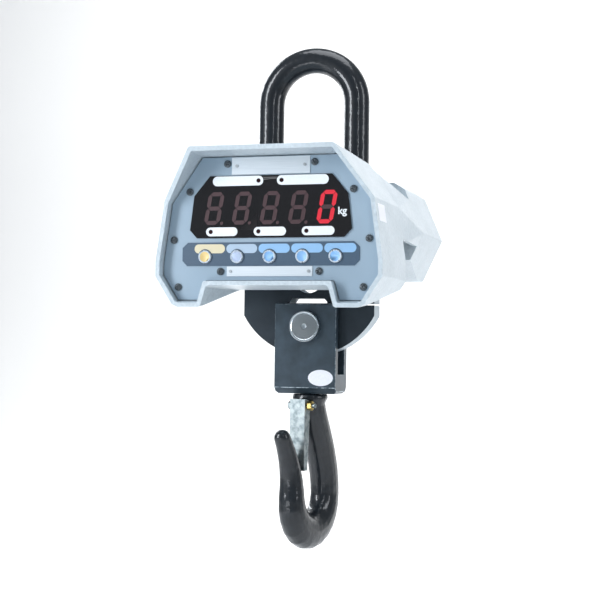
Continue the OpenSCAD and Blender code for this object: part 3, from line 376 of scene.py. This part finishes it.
# %% [markdown]
# Each CAD node gets the finish of its slot. This alone makes a fair picture, and whatever
# isn't refined further below, such as boards and bolts inside, is finished here.

# %% Dress every CAD node
def dress(piece, *finishes):
    piece.data.materials.clear()
    for finish in finishes:
        piece.data.materials.append(finish)


for name, node in nodes.items():
    dress(node, FINISH[slot_of[name]])
print("dressed", len(nodes), "nodes")

# %% [markdown]
# Real edges are never knife sharp: castings are rounded, milled blocks are broken with a
# file. A bevel catches a thin line of light there, which is most of what makes metal look
# real. A CAD node's own mesh is left alone, so each is copied, its loose triangles merged,
# its flat faces joined back into one, and the copy is bevelled and stands for the node.

# %% Helpers for softened copies
def only(piece):
    if bpy.context.object and bpy.context.object.mode != "OBJECT":
        bpy.ops.object.mode_set(mode="OBJECT")
    bpy.ops.object.select_all(action="DESELECT")
    piece.select_set(True)
    bpy.context.view_layer.objects.active = piece


def copy_node(node, name):
    piece = bpy.data.objects.new(name, nodes[node].data.copy())
    bpy.context.scene.collection.objects.link(piece)
    only(piece)
    bpy.ops.object.mode_set(mode="EDIT")
    bpy.ops.mesh.select_all(action="SELECT")
    bpy.ops.mesh.remove_doubles(threshold=0.004 * MM)
    bpy.ops.mesh.dissolve_limited(angle_limit=math.radians(0.6))
    bpy.ops.object.mode_set(mode="OBJECT")
    return piece


def soften(piece, width, segments=2, angle=35, edge_slot=-1):
    only(piece)
    bevel = piece.modifiers.new("soft_edges", "BEVEL")
    bevel.width, bevel.segments, bevel.limit_method = width * MM, segments, "ANGLE"
    bevel.angle_limit, bevel.material, bevel.harden_normals = math.radians(angle), edge_slot, False
    bevel.miter_outer = "MITER_ARC"
    bpy.ops.object.modifier_apply(modifier=bevel.name)


# %% [markdown]
# Every piece ends in the same way, so one helper does it. Smooth shading would smear the
# light over the big flat faces next to a bevel, so weighted normals can let each big face
# keep its own direction while only the bevel turns. Clearing a mesh's materials also forgets
# which face wears which, so that is noted first and put back. Then the piece is parented to
# the body it moves with, and the CAD nodes it stands for are hidden.

# %% Finish a piece and attach it to its body
def finish_piece(piece, body, finishes, stands_for=(), angle=40, even=False):
    only(piece)
    bpy.ops.object.shade_smooth_by_angle(angle=math.radians(angle))
    if even:
        level = piece.modifiers.new("even_shading", "WEIGHTED_NORMAL")
        level.weight, level.keep_sharp = 100, True
        bpy.ops.object.modifier_apply(modifier=level.name)
    worn_by = [face.material_index for face in piece.data.polygons]
    dress(piece, *finishes)
    for face, finish in zip(piece.data.polygons, worn_by):
        face.material_index = finish
    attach(piece, body)
    if stands_for:
        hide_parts(*stands_for)
    print(piece.name, len(piece.data.polygons), "faces")


# %% [markdown]
# The front housing, the centre cover, the battery box and its cover are castings, so their
# edges get a millimetre of radius. The yokes and the disc are milled, with a narrower broken
# edge, and on the yokes that edge wears bright steel: partly bare steel through the oxide,
# and partly a painted highlight.

# %% Soften the castings and the milled steel
# how wide each piece's broken edge is, in millimetres
SOFT = {"front_housing": 1.0, "centre_cover": 0.8, "battery_box": 0.9, "rear_cover": 0.6,
        "battery_door": 0.8, "front_panel": 0.3, "load_cell": 0.5, "shackle_pin": 0.8,
        "latch": 0.35, "name_plate": 0.2, "rating_plate": 0.15}
for node, width in SOFT.items():
    piece = copy_node(node, node + "_softened")
    soften(piece, width)
    finish_piece(piece, body_of[node], [FINISH[slot_of[node]]], [node], even=True)

for node in ("upper_yoke", "lower_yoke"):
    piece = copy_node(node, node + "_milled")
    # The yokes' bevels take the bright edge finish: wear plus a painted highlight on every edge.
    dress(piece, oxide, edge_wear_and_highlight)
    soften(piece, 0.7, edge_slot=1)
    finish_piece(piece, body_of[node], [oxide, edge_wear_and_highlight], [node], even=True)

# %% [markdown]
# Forgings have no true edges at all: every corner flows into the next. The quickest way to
# that is a voxel remesh, which wraps the shape in small even faces, and then a smoothing
# that lets creases settle into fillets, as they did under the hammer.

# %% Forge the shackle and the hook
def forge(node, voxel, rounds):
    piece = copy_node(node, node + "_forged")
    only(piece)
    wrap = piece.modifiers.new("wrap", "REMESH")
    wrap.mode, wrap.voxel_size, wrap.use_smooth_shade = "VOXEL", voxel * MM, True
    bpy.ops.object.modifier_apply(modifier=wrap.name)
    settle = piece.modifiers.new("settle", "SMOOTH")
    settle.factor, settle.iterations = 0.5, rounds
    bpy.ops.object.modifier_apply(modifier=settle.name)
    return piece


for node, voxel, rounds in (("shackle", 1.3, 4), ("hook", 1.1, 10)):
    piece = forge(node, voxel, rounds)
    finish_piece(piece, body_of[node], [black], [node], angle=60)

# %% [markdown]
# ## Small things that repeat
# The next pieces need to know where each screw, lamp and digit block is. A node such as the
# panel screws holds ten separate solids, so this helper walks along shared edges to find
# which vertices belong together, and gives the box of each solid.

# %% Find the solids inside a node
def solids_of(node):
    piece = copy_node(node, "measured_copy")
    leader = list(range(len(piece.data.vertices)))

    def first(i):
        while leader[i] != i:
            leader[i] = leader[leader[i]]
            i = leader[i]
        return i

    for edge in piece.data.edges:
        leader[first(edge.vertices[0])] = first(edge.vertices[1])
    groups = {}
    for vertex in piece.data.vertices:
        groups.setdefault(first(vertex.index), []).append(vertex.co.copy())
    bpy.data.objects.remove(piece)
    boxes = [tuple(Vector([end(point[axis] for point in group) for axis in range(3)]) for end in (min, max))
             for group in groups.values()]
    return sorted(boxes, key=lambda b: (round(b[0].z, 4), b[0].x))


def middle_of(box):
    return (box[0] + box[1]) / 2


screw_boxes = solids_of("panel_screws")
lamp_boxes = solids_of("indicator_leds")
block_boxes = sorted(solids_of("digit_modules"), key=lambda b: b[0].x)
print(len(screw_boxes), "screws,", len(lamp_boxes), "lamps,", len(block_boxes), "digit blocks")

# %% [markdown]
# Two more helpers work on one piece. The first leaves the faces that pass a test selected in
# edit mode, ready for an inset. The second takes a cutter's shape out of a piece, as a drill
# or a saw would, and throws the cutter away.

# %% Select faces, and cut with a shape
def pick_faces(piece, wanted):
    only(piece)
    bpy.ops.object.mode_set(mode="EDIT")
    bpy.ops.mesh.select_mode(type="FACE")
    bpy.ops.mesh.select_all(action="DESELECT")
    bpy.ops.object.mode_set(mode="OBJECT")
    for face in piece.data.polygons:
        face.select = wanted(face)
    bpy.ops.object.mode_set(mode="EDIT")


def cut_away(piece, cutter):
    only(piece)
    cut = piece.modifiers.new("cut", "BOOLEAN")
    cut.operation, cut.solver, cut.object = "DIFFERENCE", "EXACT", cutter
    bpy.ops.object.modifier_apply(modifier=cut.name)
    bpy.data.objects.remove(cutter)


# %% [markdown]
# The panel screws have a cross recess. Two slots per head are cut with thin bars, and each
# screw is left turned a little differently, because nobody lines screws up. All the bars of
# one direction are joined, so two cuts do the ten heads.

# %% Cross recesses in the panel screws
def bars_at(places, size, extra_turn):
    bars = []
    for number, spot in enumerate(places):
        bpy.ops.object.select_all(action="DESELECT")
        bpy.ops.mesh.primitive_cube_add(size=1, location=spot, scale=size,
                                        rotation=(0, math.radians(37 * number + extra_turn), 0))
        bars.append(bpy.context.object)
    for bar in bars:
        bar.select_set(True)
    bpy.ops.object.join()
    bpy.ops.object.transform_apply(location=True, rotation=True, scale=True)
    return bpy.context.object


screws = copy_node("panel_screws", "cross_head_screws")
heads = [Vector((middle_of(b).x, b[0].y, middle_of(b).z)) for b in screw_boxes]
for extra_turn in (0, 90):
    cut_away(screws, bars_at(heads, (5.2 * MM, 2.6 * MM, 1.1 * MM), extra_turn))
blacked, shader, place = new_finish("blackened_screw_steel", "#4C5358", 0.8, 0.4)
streak = add_node(blacked, "ShaderNodeTexNoise", {"Vector": place, "Scale": 1 / (1.5 * MM), "Detail": 3})
shade = add_node(blacked, "ShaderNodeMix", {0: streak.outputs["Fac"], 6: linear("#33393D"),
                                            7: linear("#6A7277")}, data_type="RGBA")
plug(blacked, shade.outputs[2], shader, "Base Color")
finish_piece(screws, "scale_body", [blacked], ["panel_screws"])

# %% [markdown]
# The heads of the two yoke pins were faced on a lathe. The tool leaves a raised rim and
# shallow rings inside it. Starting from the pin's own flat face, repeated insets, each a
# little deeper or shallower, draw those rings exactly round the middle. The rim's bevel and
# the forward-facing slopes of the rings wear a brighter polished steel: partly the real
# polish of the cut, partly a painted highlight.

# %% Turned faces on the yoke pins
# Brighter polished steel: partly the real polish of the lathe cut, partly a painted highlight on the rim and
# ring slopes.
polish_and_highlight, shader, place = new_finish("turned_steel_polish_and_highlight", "#D3DADE", 1.0, 0.16)
swirl = add_node(polish_and_highlight, "ShaderNodeTexNoise", {"Vector": place, "Scale": 1 / (0.8 * MM), "Detail": 2})
blend = add_node(polish_and_highlight, "ShaderNodeMapRange", {"Value": swirl.outputs["Fac"], "To Min": 0.1, "To Max": 0.24})
plug(polish_and_highlight, blend.outputs["Result"], shader, "Roughness")
for node in ("upper_pin", "lower_pin"):
    pin = copy_node(node, node + "_turned")
    face_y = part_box(node)[0].y
    pick_faces(pin, lambda face: face.normal.y < -0.99 and abs(face.center.y - face_y) < 0.01 * MM)
    bpy.ops.mesh.inset(thickness=1.3 * MM, depth=0)
    bpy.ops.mesh.inset(thickness=0.7 * MM, depth=-0.6 * MM)
    for ring in range(5):
        bpy.ops.mesh.inset(thickness=1.2 * MM, depth=0.45 * MM)
        bpy.ops.mesh.inset(thickness=1.6 * MM, depth=-0.45 * MM)
    bpy.ops.object.mode_set(mode="OBJECT")
    dress(pin, ground, polish_and_highlight)
    soften(pin, 0.5, angle=60, edge_slot=1)
    # Bevels and the ring slopes that face forward wear the bright steel, a painted highlight over the real
    # polish.
    for face in pin.data.polygons:
        face.material_index = int(face.material_index == 1 or 0.5 < -face.normal.y < 0.985)
    finish_piece(pin, body_of[node], [ground, polish_and_highlight], [node], angle=12)

# %% [markdown]
# Each button is a moulded cap with a raised rim round a shallow dish, so a gloved finger
# finds it. The same inset makes the rim, and a small bevel rounds it.

# %% Dished buttons
rim_abs, shader, place = new_finish("moulded_pale_abs_rim", "#C3CFDA", 0.0, 0.35, IOR=1.53)
pale = add_node(rim_abs, "ShaderNodeTexNoise", {"Vector": place, "Scale": 1 / (0.6 * MM), "Detail": 2})
relief = add_node(rim_abs, "ShaderNodeBump", {"Height": pale.outputs["Fac"], "Strength": 0.12,
                                              "Distance": 0.04 * MM})
plug(rim_abs, relief.outputs["Normal"], shader, "Normal")
for number in range(1, 6):
    node = f"button_{number}"
    cap = copy_node(node, node + "_dished")
    face_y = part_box(node)[0].y
    pick_faces(cap, lambda face: face.normal.y < -0.99 and abs(face.center.y - face_y) < 0.01 * MM)
    bpy.ops.mesh.inset(thickness=1.2 * MM, depth=0)
    bpy.ops.mesh.inset(thickness=0.4 * MM, depth=-0.4 * MM)
    bpy.ops.object.mode_set(mode="OBJECT")
    dress(cap, rim_abs, FINISH[slot_of[node]])
    for face in cap.data.polygons:
        face.material_index = int(face.select)
    finish_piece(cap, node, [rim_abs, FINISH[slot_of[node]]], [node])

# %% [markdown]
# The window's rim is ground at an angle. Its bevel's own faces take a second finish, finely
# grained like ground acrylic and pale, which outlines the window; the pale colour is a
# painted highlight along the chamfer.

# %% Window with a painted highlight on its ground rim
# Pale chamfer finish: the fine grain is the ground acrylic, the pale colour is a painted highlight.
chamfer_highlight, shader, place = new_finish("acrylic_chamfer_painted_highlight", "#9FB0BC", 0.0, 0.5, IOR=1.49)
frost = add_node(chamfer_highlight, "ShaderNodeTexNoise", {"Vector": place, "Scale": 1 / (0.6 * MM)})
relief = add_node(chamfer_highlight, "ShaderNodeBump", {"Height": frost.outputs["Fac"], "Strength": 0.2,
                                              "Distance": 0.04 * MM})
plug(chamfer_highlight, relief.outputs["Normal"], shader, "Normal")
window = copy_node("display_window", "window_ground")
dress(window, acrylic, chamfer_highlight)
window_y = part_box("display_window")[0].y
soften(window, 0.7, segments=1, edge_slot=1)
finish_piece(window, "scale_body", [acrylic, chamfer_highlight], ["display_window"])

# %% [markdown]
# ## The display
# A digit has seven bars with pointed ends, and leans ten degrees. Behind dark acrylic the
# unlit bars still show as a dim reddish grey, and the lit ones glow. They lie on the
# window's face as very thin pieces, which keeps them sharp from every side.

# %% Segment finishes
dim, shader, place = new_finish("unlit_led_segment", "#43292D", 0.0, 0.6, IOR=1.5)
grain = add_node(dim, "ShaderNodeTexNoise", {"Vector": place, "Scale": 1 / (2 * MM)})
shade = add_node(dim, "ShaderNodeMix", {0: grain.outputs["Fac"], 6: linear("#382226"), 7: linear("#452A2F")},
                 data_type="RGBA")
plug(dim, shade.outputs[2], shader, "Base Color")
lit, shader, place = new_finish("lit_led_segment", "#7A0D18", 0.0, 0.4, IOR=1.5,
                                Emission_Color=linear("#E02238"), Emission_Strength=0.75)
glow = add_node(lit, "ShaderNodeTexNoise", {"Vector": place, "Scale": 1 / (3 * MM)})
shade = add_node(lit, "ShaderNodeMix", {0: glow.outputs["Fac"], 6: linear("#700B16"), 7: linear("#8E1522")},
                 data_type="RGBA")
plug(lit, shade.outputs[2], shader, "Base Color")
print("segment finishes ready")

# %% [markdown]
# Bars, tags, patches and stickers are all thin upright slabs whose four short edges are
# rounded off, so one helper adds the slab and one rounds it. With a single segment and a
# radius of half its height, a slab gets pointed ends, which is just what a bar needs.

# %% Thin slabs with shaped ends
def add_slab(name, centre, size, turn=0):
    bpy.ops.object.select_all(action="DESELECT")
    bpy.ops.mesh.primitive_cube_add(size=1, location=centre, scale=size, rotation=(0, math.radians(turn), 0))
    slab = bpy.context.object
    slab.name = slab.data.name = name
    bpy.ops.object.transform_apply(location=True, rotation=True, scale=True)
    return slab


def round_corners(slab, radius, segments):
    only(slab)
    bpy.ops.object.mode_set(mode="EDIT")
    bpy.ops.mesh.select_mode(type="EDGE")
    bpy.ops.mesh.select_all(action="DESELECT")
    bpy.ops.object.mode_set(mode="OBJECT")
    for edge in slab.data.edges:
        a, b = (slab.data.vertices[v].co for v in edge.vertices)
        edge.select = abs((a - b).normalized().y) > 0.99
    bpy.ops.object.mode_set(mode="EDIT")
    bpy.ops.mesh.bevel(offset=radius, segments=segments, affect="EDGES", clamp_overlap=True)
    bpy.ops.mesh.remove_doubles(threshold=0.001 * MM)
    bpy.ops.object.mode_set(mode="OBJECT")


# %% [markdown]
# One bar is modelled and the rest are copies of it: seven in a digit, with the upright ones
# turned and made a little longer, and a round decimal point at the foot. The parts are joined
# and the whole digit is sheared, because leaning it as one keeps its bars parallel.

# %% One bar, and a digit from its copies
BAR, THIN, WIDE, TALL = 4.7 * MM, 0.16 * MM, 19.4 * MM, 38 * MM
BAR_GAP = 0.5 * MM
bar = add_slab("one_bar", (0, 0, 0), (WIDE - BAR - BAR_GAP, THIN, BAR))
round_corners(bar, BAR * 0.499, 1)
half, side = (TALL - BAR) / 2, (WIDE - BAR) / 2
PLACES = {"top": (0, half * 2, 0), "middle": (0, half, 0), "bottom": (0, 0, 0),
          "up_left": (-side, half * 1.5, 90), "up_right": (side, half * 1.5, 90),
          "low_left": (-side, half * 0.5, 90), "low_right": (side, half * 0.5, 90)}
stretch_up = (half - BAR_GAP) / (WIDE - BAR - BAR_GAP)
print("bar", round(BAR / MM, 1), "mm thick, digit", round(WIDE / MM, 1), "x", round(TALL / MM), "mm")


def digit(name, corner, bars, point):
    pieces = []
    for which in bars:
        x, z, turned = PLACES[which]
        part = bpy.data.objects.new(name, bar.data.copy())
        bpy.context.scene.collection.objects.link(part)
        longer = Matrix.Diagonal((stretch_up if turned else 1, 1, 1, 1))
        upright = Matrix.Rotation(math.radians(turned), 4, "Y")
        part.data.transform(Matrix.Translation((x, 0, z)) @ upright @ longer)
        pieces.append(part)
    if point:
        bpy.ops.object.select_all(action="DESELECT")
        bpy.ops.mesh.primitive_cylinder_add(vertices=24, radius=1.9 * MM, depth=THIN,
                                            rotation=(math.pi / 2, 0, 0),
                                            location=(WIDE / 2 + 2.6 * MM, 0, -0.6 * MM))
        bpy.ops.object.transform_apply(location=True, rotation=True, scale=True)
        pieces.append(bpy.context.object)
    bpy.ops.object.select_all(action="DESELECT")
    for part in pieces:
        part.select_set(True)
    bpy.context.view_layer.objects.active = pieces[0]
    bpy.ops.object.join()
    whole = bpy.context.object
    lean = Matrix.Identity(4)
    lean[0][2] = math.tan(math.radians(10))
    whole.data.transform(Matrix.Translation(corner) @ lean)
    return whole


# %% [markdown]
# A digit goes in front of each of the five blocks behind the window. With nothing on the
# hook the scale reads zero, so only the last digit is lit, without its middle bar.

# %% The five digits
for number, block in enumerate(block_boxes):
    corner = Vector((block[0].x + 4 * MM + WIDE / 2, window_y - 0.05 * MM, block[0].z + 3 * MM + BAR / 2))
    last = number == len(block_boxes) - 1
    unlit = digit(f"unlit_digit_{number + 1}", corner, ["middle"] if last else list(PLACES), not last)
    finish_piece(unlit, "scale_body", [dim])
    if last:
        zero = digit("lit_digit", corner, [b for b in PLACES if b != "middle"], False)
        finish_piece(zero, "scale_body", [lit])
bpy.data.objects.remove(bar)

# %% [markdown]
# White ink is screen printed on the window. After the digits comes the unit, which is
# ordinary text turned into a mesh before it is placed, a little bolder than the typeface.

# %% Printed unit
ink, shader, place = new_finish("white_screen_ink", "#E6ECEF", 0.0, 0.55, IOR=1.5)
speck = add_node(ink, "ShaderNodeTexNoise", {"Vector": place, "Scale": 1 / (1 * MM)})
shade = add_node(ink, "ShaderNodeMix", {0: speck.outputs["Fac"], 6: linear("#DDE4E8"), 7: linear("#F1F5F7")},
                 data_type="RGBA")
plug(ink, shade.outputs[2], shader, "Base Color")
bpy.ops.object.select_all(action="DESELECT")
bpy.ops.object.text_add()
unit = bpy.context.object
unit.name = "unit_mark"
unit.data.body, unit.data.size, unit.data.extrude, unit.data.offset = "kg", 11.5 * MM, 0.05 * MM, 0.28 * MM
bpy.ops.object.convert(target="MESH")
last_block = block_boxes[-1]
unit.data.transform(Matrix.Translation((last_block[1].x - 4.2 * MM, window_y - 0.08 * MM,
                                        last_block[0].z + 13.5 * MM)) @ Matrix.Rotation(math.pi / 2, 4, "X"))
finish_piece(unit, "scale_body", [ink])

# %% [markdown]
# Each lamp has a blank printed tag, a slab with round ends, and a hole is cut through it so
# that the lamp shows. The list holds each tag's left end, right end and height, in
# millimetres, in the lamps' own order: the lower row from the left, and then the upper one.

# %% Lamp tags
TAGS = [(-77.5, -39.0, 10.2), (-19.2, 19.8, 10.2), (38.6, 77.3, 10.2), (-70.2, -8.5, 11.2), (8.0, 69.8, 11.2)]
for number, ((x0, x1, height), lamp) in enumerate(zip(TAGS, lamp_boxes)):
    spot = middle_of(lamp)
    tag = add_slab(f"lamp_tag_{number + 1}", ((x0 + x1) / 2 * MM, window_y - 0.05 * MM, spot.z),
                   ((x1 - x0) * MM, THIN, height * MM))
    round_corners(tag, height * 0.495 * MM, 8)
    bpy.ops.object.select_all(action="DESELECT")
    bpy.ops.mesh.primitive_cylinder_add(vertices=32, radius=2.6 * MM, depth=4 * MM,
                                        rotation=(math.pi / 2, 0, 0), location=(spot.x, window_y, spot.z))
    cut_away(tag, bpy.context.object)
    finish_piece(tag, "scale_body", [ink])

# %% [markdown]
# Above each button the film has a patch in the button's own colour, which curls round the
# button from the left and ends in a rounded tab on the right. It is a rounded slab with the
# button's circle cut out of it.

# %% Coloured patches over the buttons
strip_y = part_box("button_strip")[0].y
TINTS = {"key_yellow": "#D9CFAE", "key_grey": "#A9BED2", "key_blue": "#8DB9E0"}
for slot, code in TINTS.items():
    tint, shader, place = new_finish("film_tint_" + slot, code, 0.0, 0.4, IOR=1.58)
    fine = add_node(tint, "ShaderNodeTexNoise", {"Vector": place, "Scale": 1 / (1 * MM)})
    relief = add_node(tint, "ShaderNodeBump", {"Height": fine.outputs["Fac"], "Strength": 0.1,
                                               "Distance": 0.04 * MM})
    plug(tint, relief.outputs["Normal"], shader, "Normal")
    TINTS[slot] = tint
for number in range(1, 6):
    node = f"button_{number}"
    centre = middle_of(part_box(node))
    patch = add_slab(f"button_patch_{number}", (centre.x + 5.6 * MM, strip_y - 0.04 * MM, centre.z + 9.3 * MM),
                     (37.5 * MM, THIN, 10.5 * MM))
    round_corners(patch, 5.1 * MM, 8)
    bpy.ops.object.select_all(action="DESELECT")
    bpy.ops.mesh.primitive_cylinder_add(vertices=48, radius=8.9 * MM, depth=6 * MM,
                                        rotation=(math.pi / 2, 0, 0),
                                        location=(centre.x, strip_y, centre.z))
    cut_away(patch, bpy.context.object)
    finish_piece(patch, "scale_body", [TINTS[slot_of[node]]])

# %% [markdown]
# Two blank stickers are left where a dealer and an inspector would put theirs: an oval one
# low on the lower yoke and a small one on the housing's side. The oval is a squashed disc
# with a bevelled rim, so its paper edge catches light.

# %% Blank stickers
label, shader, place = new_finish("vinyl_label", "#EEF0F6", 0.0, 0.35, IOR=1.54)
print_grain = add_node(label, "ShaderNodeTexNoise", {"Vector": place, "Scale": 1 / (1.5 * MM)})
shade = add_node(label, "ShaderNodeMix", {0: print_grain.outputs["Fac"], 6: linear("#E4E6F0"),
                                          7: linear("#F6F7FA")}, data_type="RGBA")
plug(label, shade.outputs[2], shader, "Base Color")
yoke_low, yoke_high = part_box("lower_yoke")
bpy.ops.object.select_all(action="DESELECT")
bpy.ops.mesh.primitive_cylinder_add(vertices=64, radius=1, depth=0.25 * MM, rotation=(math.pi / 2, 0, 0),
                                    location=(yoke_high.x - 19 * MM, yoke_low.y - 0.12 * MM,
                                              yoke_low.z + 20 * MM))
oval = bpy.context.object
oval.name = "blank_oval_label"
oval.scale = (16 * MM, 10 * MM, 1)
bpy.ops.object.transform_apply(location=True, rotation=True, scale=True)
soften(oval, 0.08, segments=1)
finish_piece(oval, "lower_yoke_body", [label])

# %% [markdown]
# The small sticker lies flat on the housing's sloping right side. That side's direction is
# read from the softened casting itself: of the faces that look right and a little upwards,
# the largest is the one it is stuck to, and a slab is turned to match its normal.

# %% Sticker on the housing's side
casting = bpy.data.objects["front_housing_softened"]
side_face = max((f for f in casting.data.polygons if f.normal.x > 0.9 and 0.05 < f.normal.z < 0.3),
                key=lambda f: f.area)
outward = side_face.normal.copy()
housing_low, housing_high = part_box("front_housing")
panel_centre = middle_of(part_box("front_panel"))
housing_deep = housing_high.y - housing_low.y
spot = Vector((side_face.center.x, housing_low.y + 0.38 * housing_deep, panel_centre.z + 17 * MM))
spot -= outward * ((spot - side_face.center).dot(outward) - 0.1 * MM)
across = Vector((0, 1, 0))
up = outward.cross(across).normalized()
side_label = add_slab("blank_side_label", (0, 0, 0), (32 * MM, 0.2 * MM, 20 * MM))
round_corners(side_label, 1.0 * MM, 3)
frame_turn = Matrix((across, -outward, up)).transposed()
if frame_turn.determinant() < 0:
    frame_turn = Matrix((-across, -outward, up)).transposed()
side_label.data.transform(Matrix.Translation(spot) @ frame_turn.to_4x4())
finish_piece(side_label, "scale_body", [label])

# %% [markdown]
# ## The stage
# The scale hangs in a white studio. A broad sweep of pale paper runs under and up behind
# it: a plane whose far edge is drawn upwards, with the fold between them bevelled so wide
# that no line shows where floor turns to wall.

# %% Paper sweep
paper, shader, place = new_finish("white_paper", "#FFFFFF", 0.0, 0.9)
fibre = add_node(paper, "ShaderNodeTexNoise", {"Vector": place, "Scale": 1 / (2 * MM)})
relief = add_node(paper, "ShaderNodeBump", {"Height": fibre.outputs["Fac"], "Strength": 0.02,
                                            "Distance": 0.1 * MM})
plug(paper, relief.outputs["Normal"], shader, "Normal")
floor_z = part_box("hook")[0].z - 0.35
bpy.ops.object.select_all(action="DESELECT")
bpy.ops.mesh.primitive_plane_add(size=10, location=(0, 1.0, floor_z))
sweep = bpy.context.object
sweep.name = "paper_sweep"
bpy.ops.object.mode_set(mode="EDIT")
bpy.ops.mesh.select_mode(type="EDGE")
bpy.ops.mesh.select_all(action="DESELECT")
bpy.ops.object.mode_set(mode="OBJECT")
for edge in sweep.data.edges:
    edge.select = all(sweep.data.vertices[v].co.y > 4.9 for v in edge.vertices)
bpy.ops.object.mode_set(mode="EDIT")
bpy.ops.mesh.extrude_edges_move(TRANSFORM_OT_translate={"value": (0, 0, 7)})
bpy.ops.object.mode_set(mode="OBJECT")
curl = sweep.modifiers.new("curl", "BEVEL")
curl.width, curl.segments = 2.0, 24
bpy.ops.object.modifier_apply(modifier=curl.name)
bpy.ops.object.shade_smooth_by_angle(angle=math.radians(60))
bpy.ops.object.transform_apply(location=True, rotation=True, scale=True)
dress(sweep, paper)
print("floor at", round(floor_z, 3), "m")

# %% [markdown]
# Soft boxes are large lamps behind white cloth, so their light has gentle edges. The main
# one stands to the left front, weaker ones fill the right, the top and the underside, and
# two narrow ones draw the long white streaks down the black forgings. One lamp lights only
# the paper. A faint cool sky fills what is left.

# %% Soft boxes and sky
def soft_box(name, place, aim, size, power, colour="#F5F9FF"):
    lamp = bpy.data.lights.new(name, "AREA")
    lamp.shape, lamp.size, lamp.size_y, lamp.energy = "RECTANGLE", size[0], size[1], power
    lamp.color = linear(colour)[:3]
    holder = bpy.data.objects.new(name, lamp)
    bpy.context.scene.collection.objects.link(holder)
    holder.location = place
    holder.rotation_mode = "QUATERNION"
    holder.rotation_quaternion = (Vector(aim) - Vector(place)).to_track_quat("-Z", "Y")
    return holder


middle = (0, 0, -0.28)
soft_box("left_front_box", (-1.3, -1.4, 0.2), middle, (0.5, 1.4), 32)
soft_box("right_box", (1.6, -0.3, 0.2), middle, (0.35, 1.5), 9.5)
soft_box("top_box", (0.1, -0.2, 1.2), middle, (1.2, 1.0), 15)
soft_box("low_fill", (-0.3, -1.6, -1.0), middle, (1.0, 0.5), 5)
soft_box("back_left_rim", (-1.2, 1.0, 0.3), middle, (0.2, 1.4), 8)
soft_box("narrow_right_strip", (0.75, -1.3, 0.3), middle, (0.05, 1.2), 3)
soft_box("back_wash", (0, 2.2, 2.4), (0, 5.0, 0.2), (4.0, 1.5), 240, "#FFFFFF")
world = bpy.data.worlds.new("studio_air")
world.use_nodes = True
world.node_tree.nodes["Background"].inputs["Color"].default_value = linear("#E6F0F8")
world.node_tree.nodes["Background"].inputs["Strength"].default_value = 0.26
bpy.context.scene.world = world
bpy.context.scene.view_settings.view_transform = "Standard"

# %% [markdown]
# The camera looks from the right of the display and a little from below, which is how the
# display is read when the scale hangs overhead. A long lens from some 1.8 metres keeps the
# housing's lines close to parallel, and the camera is rolled by less than a degree.

# %% Camera
LOOK_ALONG = Vector((-0.2955, 0.9546, 0.0377))
ROLL = math.radians(0.8)
lens = bpy.data.cameras.new("studio_camera")
lens.lens, lens.sensor_width = 84.8, 36
camera = bpy.data.objects.new("studio_camera", lens)
bpy.context.scene.collection.objects.link(camera)
camera.location = (0.509, -1.698, -0.353)
camera.rotation_mode = "QUATERNION"
turn = LOOK_ALONG.to_track_quat("-Z", "Y")
camera.rotation_quaternion = turn @ Matrix.Rotation(ROLL, 3, "Z").to_quaternion()
bpy.context.scene.camera = camera
print("camera", [round(v, 3) for v in camera.location], lens.lens, "mm")

# %% [markdown]
